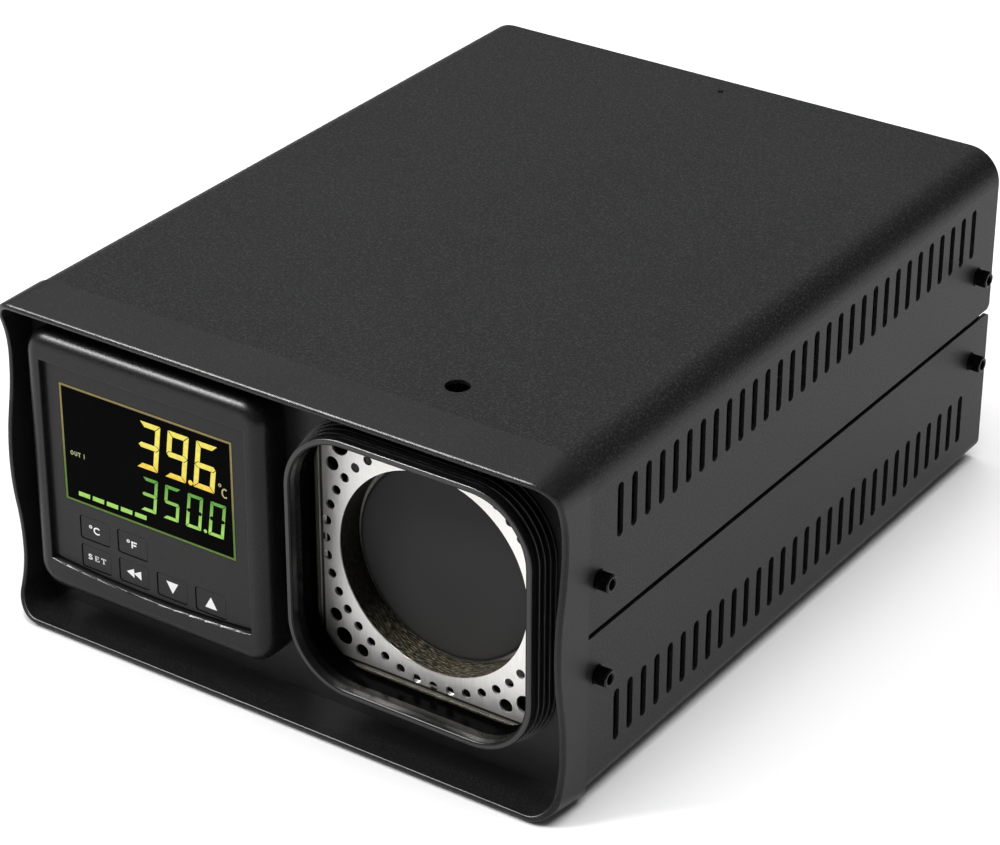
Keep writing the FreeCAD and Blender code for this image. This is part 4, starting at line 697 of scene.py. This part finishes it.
def slab(name, shapes, place, thickness, material, body):
    """One piece of thin closed solids with the given outlines, standing on a face."""
    build = bmesh.new()

    def level(points, depth):
        return [build.verts.new(place @ Vector((point.x * MM, point.y * MM, depth))) for point in points]

    for shape in shapes:
        if isinstance(shape, tuple):
            left, right, closed = shape
            rails = [level(points, depth) for depth in (thickness, 0.0) for points in (left, right)]
            ring = [rails[0], rails[1], rails[3], rails[2]]
            count = len(left)
            for index in range(count if closed else count - 1):
                onward = (index + 1) % count
                for first, second in zip(ring, ring[1:] + ring[:1]):
                    build.faces.new((first[index], first[onward], second[onward], second[index]))
            if not closed:
                build.faces.new([rail[0] for rail in ring])
                build.faces.new([rail[-1] for rail in ring])
        else:
            top, bottom = level(shape, thickness), level(shape, 0.0)
            build.faces.new(top)
            build.faces.new(bottom)
            for index in range(len(shape)):
                onward = (index + 1) % len(shape)
                build.faces.new((top[index], top[onward], bottom[onward], bottom[index]))
    add_piece(name, build, material, body)


# Side screws, in millimetres: knurled socket heads on a spring washer and a flat washer. Each washer has a
# radius and a thickness. The split in the spring washer and its turn from screw to screw are in steps.

TURN_STEPS = 72
SPRING_SPLIT = 4
SPLIT_TURN = 17
FLAT_WASHER = (3.1, 0.5)
SPRING_WASHER = (2.8, 0.8)
WASHER_GROOVE = 2.4
HEAD_RADIUS = 2.75
HEAD_HEIGHT = 3.0
HEAD_ROUND = 0.35
FACE_ROUND = 0.1
KNURL_DEPTH = 0.16
SOCKET_FLAT = 1.45
SOCKET_SINK = 1.85
SOCKET_DEPTH = 1.6
SEAM = 0.06


def plain(radius):
    """Radii of a circle."""
    return [radius] * TURN_STEPS


def knurled(radius):
    """Radii that step in and out at each ridge."""
    return [radius - KNURL_DEPTH * (step % 2) for step in range(TURN_STEPS)]


def hexagon(flat):
    """Radii of a hexagon with this distance from its middle to a flat."""
    sector = math.tau / 6
    angles = [math.tau * step / TURN_STEPS % sector - sector / 2 for step in range(TURN_STEPS)]
    return [flat / math.cos(angle) for angle in angles]


def split_ring(radius, inner, start):
    """Radii of a ring that is cut through at one place."""
    return [inner if (step - start) % TURN_STEPS < SPRING_SPLIT else radius for step in range(TURN_STEPS)]


def turned(build, place, stations):
    """Adds a closed solid round an axis. Each station has a height and its radii, in millimetres."""
    rings = []
    for height, radii in stations:
        points = []
        for step, radius in enumerate(radii):
            angle = math.tau * step / TURN_STEPS
            points.append(Vector((radius * math.cos(angle), radius * math.sin(angle), height)) * MM)
        rings.append([build.verts.new(place @ point) for point in points])
    for first, second in zip(rings, rings[1:]):
        for step in range(TURN_STEPS):
            onward = (step + 1) % TURN_STEPS
            build.faces.new((first[step], first[onward], second[onward], second[step]))
    build.faces.new(rings[0])
    build.faces.new(rings[-1])


def screw_stations(split_start):
    """From the cover outwards: flat washer, spring washer, knurled head, and down into the socket."""
    flat_top = FLAT_WASHER[1]
    spring_top = flat_top + SPRING_WASHER[1]
    head_top = spring_top + HEAD_HEIGHT
    spring = split_ring(SPRING_WASHER[0], WASHER_GROOVE, split_start)
    return [
        (0.0, plain(FLAT_WASHER[0])),
        (flat_top, plain(FLAT_WASHER[0])),
        (flat_top, plain(WASHER_GROOVE)),
        (flat_top + SEAM, plain(WASHER_GROOVE)),
        (flat_top + SEAM, spring),
        (spring_top - SEAM, spring),
        (spring_top - SEAM, plain(WASHER_GROOVE)),
        (spring_top, plain(WASHER_GROOVE)),
        (spring_top, plain(HEAD_RADIUS - HEAD_ROUND)),
        (spring_top + HEAD_ROUND / 2, knurled(HEAD_RADIUS)),
        (head_top - HEAD_ROUND, knurled(HEAD_RADIUS)),
        (head_top - HEAD_ROUND, plain(HEAD_RADIUS - KNURL_DEPTH)),
        (head_top - HEAD_ROUND / 4, plain(HEAD_RADIUS - HEAD_ROUND)),
        (head_top, plain(HEAD_RADIUS - HEAD_ROUND - FACE_ROUND)),
        (head_top, plain(SOCKET_SINK)),
        (head_top - SOCKET_SINK + SOCKET_FLAT, hexagon(SOCKET_FLAT)),
        (head_top - SOCKET_DEPTH, hexagon(SOCKET_FLAT)),
    ]


def screw_places():
    """Axes on the sides of the covers, at the middle of each screw's head."""
    centre = middle("side_screws")
    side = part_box("top_cover")[1].x
    corners = {}
    for vertex in nodes["side_screws"].data.vertices:
        corners.setdefault(tuple(part > 0 for part in vertex.co - centre), []).append(vertex.co)
    places = []
    for (right, *_), points in sorted(corners.items()):
        across, upward = ([point[axis] for point in points] for axis in (1, 2))
        out = 1 if right else -1
        origin = Vector((out * side, (min(across) + max(across)) / 2, (min(upward) + max(upward)) / 2))
        places.append(facing(origin, Vector((out, 0, 0))))
    return places


def add_side_screws():
    """All side screws as one piece, in place of the plain CAD ones, with the washers' splits turned about."""
    build = bmesh.new()
    for index, place in enumerate(screw_places()):
        turned(build, place, screw_stations(index * SPLIT_TURN))
    piece = add_piece("knurled_screws", build, FINISHES["black_steel"], "case")
    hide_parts("side_screws")


# Display: lit segments just above the smoked window

FILM = 0.03 * MM
SEGMENTS = {
    "0": "abcdef",
    "3": "abcdg",
    "5": "acdfg",
    "6": "acdefg",
    "9": "abcdfg",
}
SEGMENT_SLOPE = math.tan(math.radians(7.0))


def digit(character, width, height, pen, gap):
    """The lit bars of a seven-segment digit with mitred ends, with its foot on the origin."""
    half = height / 2
    level = [(gap, height), (width - gap, height)]
    level += [(width - pen - gap, height - pen), (pen + gap, height - pen)]
    upright = [(0, height - gap), (pen, height - pen - gap), (pen, half + pen / 2 + gap)]
    upright += [(pen / 2, half + pen / 2 + gap), (0, half + gap)]
    bars = {
        "a": level,
        "d": [(x, height - y) for x, y in level],
        "f": upright,
        "e": [(x, height - y) for x, y in upright],
        "b": [(width - x, y) for x, y in upright],
        "c": [(width - x, height - y) for x, y in upright],
        "g": [
            (gap, half),
            (pen / 2 + gap, half + pen / 2),
            (width - pen / 2 - gap, half + pen / 2),
            (width - gap, half),
            (width - pen / 2 - gap, half - pen / 2),
            (pen / 2 + gap, half - pen / 2),
        ],
    }
    return [lean(polygon(bars[name]), SEGMENT_SLOPE) for name in SEGMENTS[character]]


def number(text, left, foot, pitch, width, height, pen, gap, dot_radius):
    """Digits in a row. A point sits before the digit that follows it."""
    shapes, column = [], 0
    for character in text:
        x = left + column * pitch
        if character == ".":
            centre = (x - (pitch - width) / 2 + dot_radius / 2, foot + dot_radius)
            shapes.append(arc(centre, (dot_radius, dot_radius), 0, 340, 17))
            continue
        shapes += [moved(bar, x, foot) for bar in digit(character, width, height, pen, gap)]
        column += 1
    return shapes


def add_display():
    """The reading, the set point, the status dashes, the unit, and the lit edge of the window."""
    centre = middle("display_window")
    low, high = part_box("display_window")
    place = front_of("display_window")

    def lit(name, shapes, material, thickness=FILM):
        slab(name, shapes, place, thickness, material, "case")

    def diodes(name, low_colour, high_colour, start, stop):
        return glow(name, low_colour, high_colour, centre.z + start * MM, centre.z + stop * MM)

    amber = diodes("lit_amber", (0.92, 0.64, 0.08), (0.90, 0.78, 0.14), 1.0, 4.0)
    green = diodes("lit_green", (0.37, 0.69, 0.14), (0.13, 0.36, 0.06), -12.0, -3.0)
    faint = diodes("lit_faint", (0.36, 0.42, 0.22), (0.48, 0.42, 0.22), -4.0, 2.0)
    large = {"pitch": 10.6, "width": 7.8, "height": 16.0, "pen": 1.75, "gap": 0.17, "dot_radius": 0.85}
    small = {"pitch": 8.5, "width": 5.7, "height": 11.7, "pen": 1.1, "gap": 0.13, "dot_radius": 0.62}
    lit("reading", number("39.6", left=-3.6, foot=0.6, **large), amber)
    lit("set_point", number("350.0", left=-3.0, foot=-14.0, **small), green)

    dash_width, dash_rise, dash_pitch, dash_count = 4.4, 1.5, 5.47, 5
    dash_left, dash_foot = -27.5, -17.3
    corners = [(0, 0), (dash_width, 0), (dash_width, dash_rise), (0, dash_rise)]
    dash = lean(polygon(corners), SEGMENT_SLOPE)
    dashes = [moved(dash, dash_left + dash_pitch * index, dash_foot) for index in range(dash_count)]
    lit("status_dashes", dashes, green)

    pen = 0.31
    letter_o = stroke(arc((0.62, 0.75), (0.45, 0.6), 0, 345, 23), pen, closed=True)
    letter_u = stroke([(1.75, 1.5), *arc((2.15, 0.65), (0.4, 0.5), 180, 360, 8), (2.55, 1.5)], pen)
    letter_t = [stroke([(2.95, 1.35), (4.0, 1.35)], pen), stroke([(3.48, 1.2), (3.48, 0.0)], pen)]
    one = stroke([(5.35, 0.0), (5.35, 1.5)], pen)
    lit("output_sign", [moved(shape, -29.7, -3.8) for shape in (letter_o, letter_u, *letter_t, one)], faint)

    ring = stroke(arc((27.6, 4.2), (0.42, 0.42), 0, 340, 17), 0.3, closed=True)
    letter_c = stroke(arc((29.4, 1.95), (1.0, 1.4), 50, 310, 18), 0.48)
    lit("unit_sign", [ring, letter_c], faint)

    edge_width, inset = 0.75, 0.1
    half_x, half_z = (high.x - low.x) / 2 / MM - inset, (high.z - low.z) / 2 / MM - inset
    x, z = half_x - edge_width / 2, half_z - edge_width / 2
    border = stroke([(-x, -z), (x, -z), (x, z), (-x, z)], edge_width, closed=True)
    green_edge, amber_edge = (0.105, 0.185, 0.040), (0.25, 0.20, 0.080)
    edge_light = diodes("lit_edge", green_edge, amber_edge, -8.0, 4.0)
    lit("window_edge", [border], edge_light, FILM / 2)


# Legends printed on the keys and the power switch


def arrow(width, height, way):
    """A triangle that points up or down."""
    return polygon([(-width / 2, -way * height / 2), (width / 2, -way * height / 2), (0, way * height / 2)])


def serif_word():
    """SET in small letters with serifs, about 7 mm wide."""
    pen, tick = 0.38, 0.22
    top, half = 1.85, 0.92
    s_upper = arc((-2.72, 1.38), (0.55, 0.36), 20, 270, 14)
    s_lower = arc((-2.72, 0.52), (0.62, 0.40), 90, -160, 14)
    shapes = [stroke(s_upper + s_lower[1:], pen)]
    shapes += [stroke([(-2.12, 1.36), (-2.12, 1.8)], tick), stroke([(-3.38, 0.05), (-3.38, 0.5)], tick)]
    e_left, e_right = -0.75, 0.75
    shapes.append(stroke([(e_left + 0.2, 0.0), (e_left + 0.2, top)], pen))
    for height, reach in ((0.11, e_right), (half, e_right - 0.35), (top - 0.11, e_right - 0.1)):
        shapes.append(stroke([(e_left - 0.15, height), (reach, height)], tick))
    shapes.append(stroke([(e_right - 0.08, 0.0), (e_right - 0.08, 0.55)], tick))
    shapes.append(stroke([(e_right - 0.18, top - 0.5), (e_right - 0.18, top)], tick))
    t_middle = 2.55
    shapes.append(stroke([(t_middle, 0.0), (t_middle, top - 0.11)], pen))
    shapes.append(stroke([(t_middle - 0.95, top - 0.11), (t_middle + 0.95, top - 0.11)], tick))
    shapes.append(stroke([(t_middle - 0.45, 0.1), (t_middle + 0.45, 0.1)], tick))
    for side in (-0.87, 0.87):
        shapes.append(stroke([(t_middle + side, top - 0.5), (t_middle + side, top - 0.12)], tick))
    return [moved(shape, 0.1, -half) for shape in shapes]


def degree(letter):
    """A degree ring with a letter C or F."""
    pen = 0.5
    shapes = [stroke(arc((-1.75, 0.85), (0.46, 0.42), 0, 340, 17), 0.32, closed=True)]
    if letter == "C":
        shapes.append(stroke(arc((0.75, 0.0), (1.2, 1.05), 42, 318, 22), pen))
    else:
        shapes.append(stroke([(-0.3, -1.2), (-0.3, 1.2)], pen))
        shapes.append(stroke([(-0.05, 0.96), (1.6, 0.96)], pen))
        shapes.append(stroke([(-0.05, -0.05), (1.3, -0.05)], pen))
    return shapes


def add_legends():
    """White legends on the keys, and the marks I and O on the flats of the power rocker."""
    ink = white_ink()
    double = [polygon([(-3.0 + x, 0), (-0.1 + x, -1.55), (-0.1 + x, 1.55)]) for x in (0.0, 2.75)]
    legends = {
        "key_celsius": degree("C"),
        "key_fahrenheit": degree("F"),
        "key_set": serif_word(),
        "key_shift": double,
        "key_down": [arrow(4.5, 3.9, -1)],
        "key_up": [arrow(4.5, 3.9, 1)],
    }
    for key, shapes in legends.items():
        slab(key.replace("key_", "legend_"), shapes, front_of(key), FILM, ink, key)
    on_flat, off_flat = rear_flats("power_rocker")
    bar = stroke([(0, -1.6), (0, 1.6)], 0.6)
    ring = stroke(arc((0, 0), (1.5, 1.5), 0, 345, 23), 0.6, closed=True)
    slab("mark_on", [bar], on_flat, FILM, ink, "power_rocker")
    slab("mark_off", [ring], off_flat, FILM, ink, "power_rocker")


# Studio: a pale floor, white surroundings and soft lights


def add_floor():
    """A plain pale floor under the feet."""
    mesh = bpy.data.meshes.new("floor")
    reach = 6.0
    corners = [(-reach, -reach, 0), (reach, -reach, 0), (reach, reach, 0), (-reach, reach, 0)]
    mesh.from_pydata(corners, [], [(0, 1, 2, 3)])
    floor = bpy.data.objects.new("floor", mesh)
    bpy.context.scene.collection.objects.link(floor)
    item = Finish("floor_white", Specular_IOR_Level=0.2)
    cloud = item.noise(3.0, 2.0)
    item.colour(item.mixed(item.share(cloud), grey(0.90), grey(0.92)))
    item.rough(cloud, 0.6, 0.7)
    mesh.materials.append(item.material)


# Each ramp of the surroundings: its axis, where it starts and stops, and the strengths at both ends
SURROUND_RAMPS = (("Z", 0.25, 0.75, 0.20, 1.22), ("X", -0.35, 0.25, 0.90, 0.15))
LIT_POINT = Vector((0.0, 0.0, 0.05))
FRONT_PIECES = ("front_frame", "controller_bezel", "bezel_gasket", "key_", "source_collar", "heat_shield")


def soft_light(name, place, size, power):
    """A large square lamp that faces the case."""
    data = bpy.data.lights.new(name, "AREA")
    data.shape = "SQUARE"
    data.size = size
    data.energy = power
    lamp = bpy.data.objects.new(name, data)
    lamp.location = place
    lamp.rotation_euler = (LIT_POINT - Vector(place)).to_track_quat("-Z", "Y").to_euler()
    bpy.context.scene.collection.objects.link(lamp)
    return lamp


def keep_light_to(lamp, names):
    """Lets a lamp light only some of the nodes."""
    lit = bpy.data.collections.new(f"{lamp.name}_only")
    for name in names:
        lit.objects.link(nodes[name])
    lamp.light_linking.receiver_collection = lit


def add_surround():
    """White surroundings: brightest overhead, darker towards the horizon and to the right."""
    world = bpy.data.worlds.new("studio")
    bpy.context.scene.world = world
    world.use_nodes = True
    tree = world.node_tree
    surround = tree.nodes["Background"]
    surround.inputs["Color"].default_value = (1.0, 1.0, 1.0, 1.0)
    direction = tree.nodes.new("ShaderNodeTexCoord")
    parts = tree.nodes.new("ShaderNodeSeparateXYZ")
    tree.links.new(direction.outputs["Generated"], parts.inputs["Vector"])
    strength = tree.nodes.new("ShaderNodeMath")
    strength.operation = "MULTIPLY"
    for index, (axis, start, stop, low, high) in enumerate(SURROUND_RAMPS):
        ramp = tree.nodes.new("ShaderNodeMapRange")
        ramp.interpolation_type = "SMOOTHSTEP"
        for name, value in (("From Min", start), ("From Max", stop), ("To Min", low), ("To Max", high)):
            ramp.inputs[name].default_value = value
        tree.links.new(parts.outputs[axis], ramp.inputs["Value"])
        tree.links.new(ramp.outputs["Result"], strength.inputs[index])
    tree.links.new(strength.outputs["Value"], surround.inputs["Strength"])


def add_studio():
    """White surroundings, a key light, a light for highlights on the front and a light for the floor."""
    add_surround()
    soft_light("key_light", place=(-0.72, -0.85, 1.05), size=0.30, power=10.0)
    rim_light = soft_light("rim_light", place=(-0.74, -0.72, 1.10), size=0.75, power=78.0)
    rim_light.visible_diffuse = False
    keep_light_to(rim_light, [name for name in nodes if name.startswith(FRONT_PIECES)])
    floor_light = soft_light("floor_light", place=(0.3, -0.1, 2.0), size=1.6, power=42.0)
    floor_light.visible_glossy = False
    bpy.context.scene.view_settings.view_transform = "Standard"
    bpy.context.scene.view_settings.look = "None"


add_camera()
add_floor()
add_studio()
add_side_screws()
add_display()
add_legends()
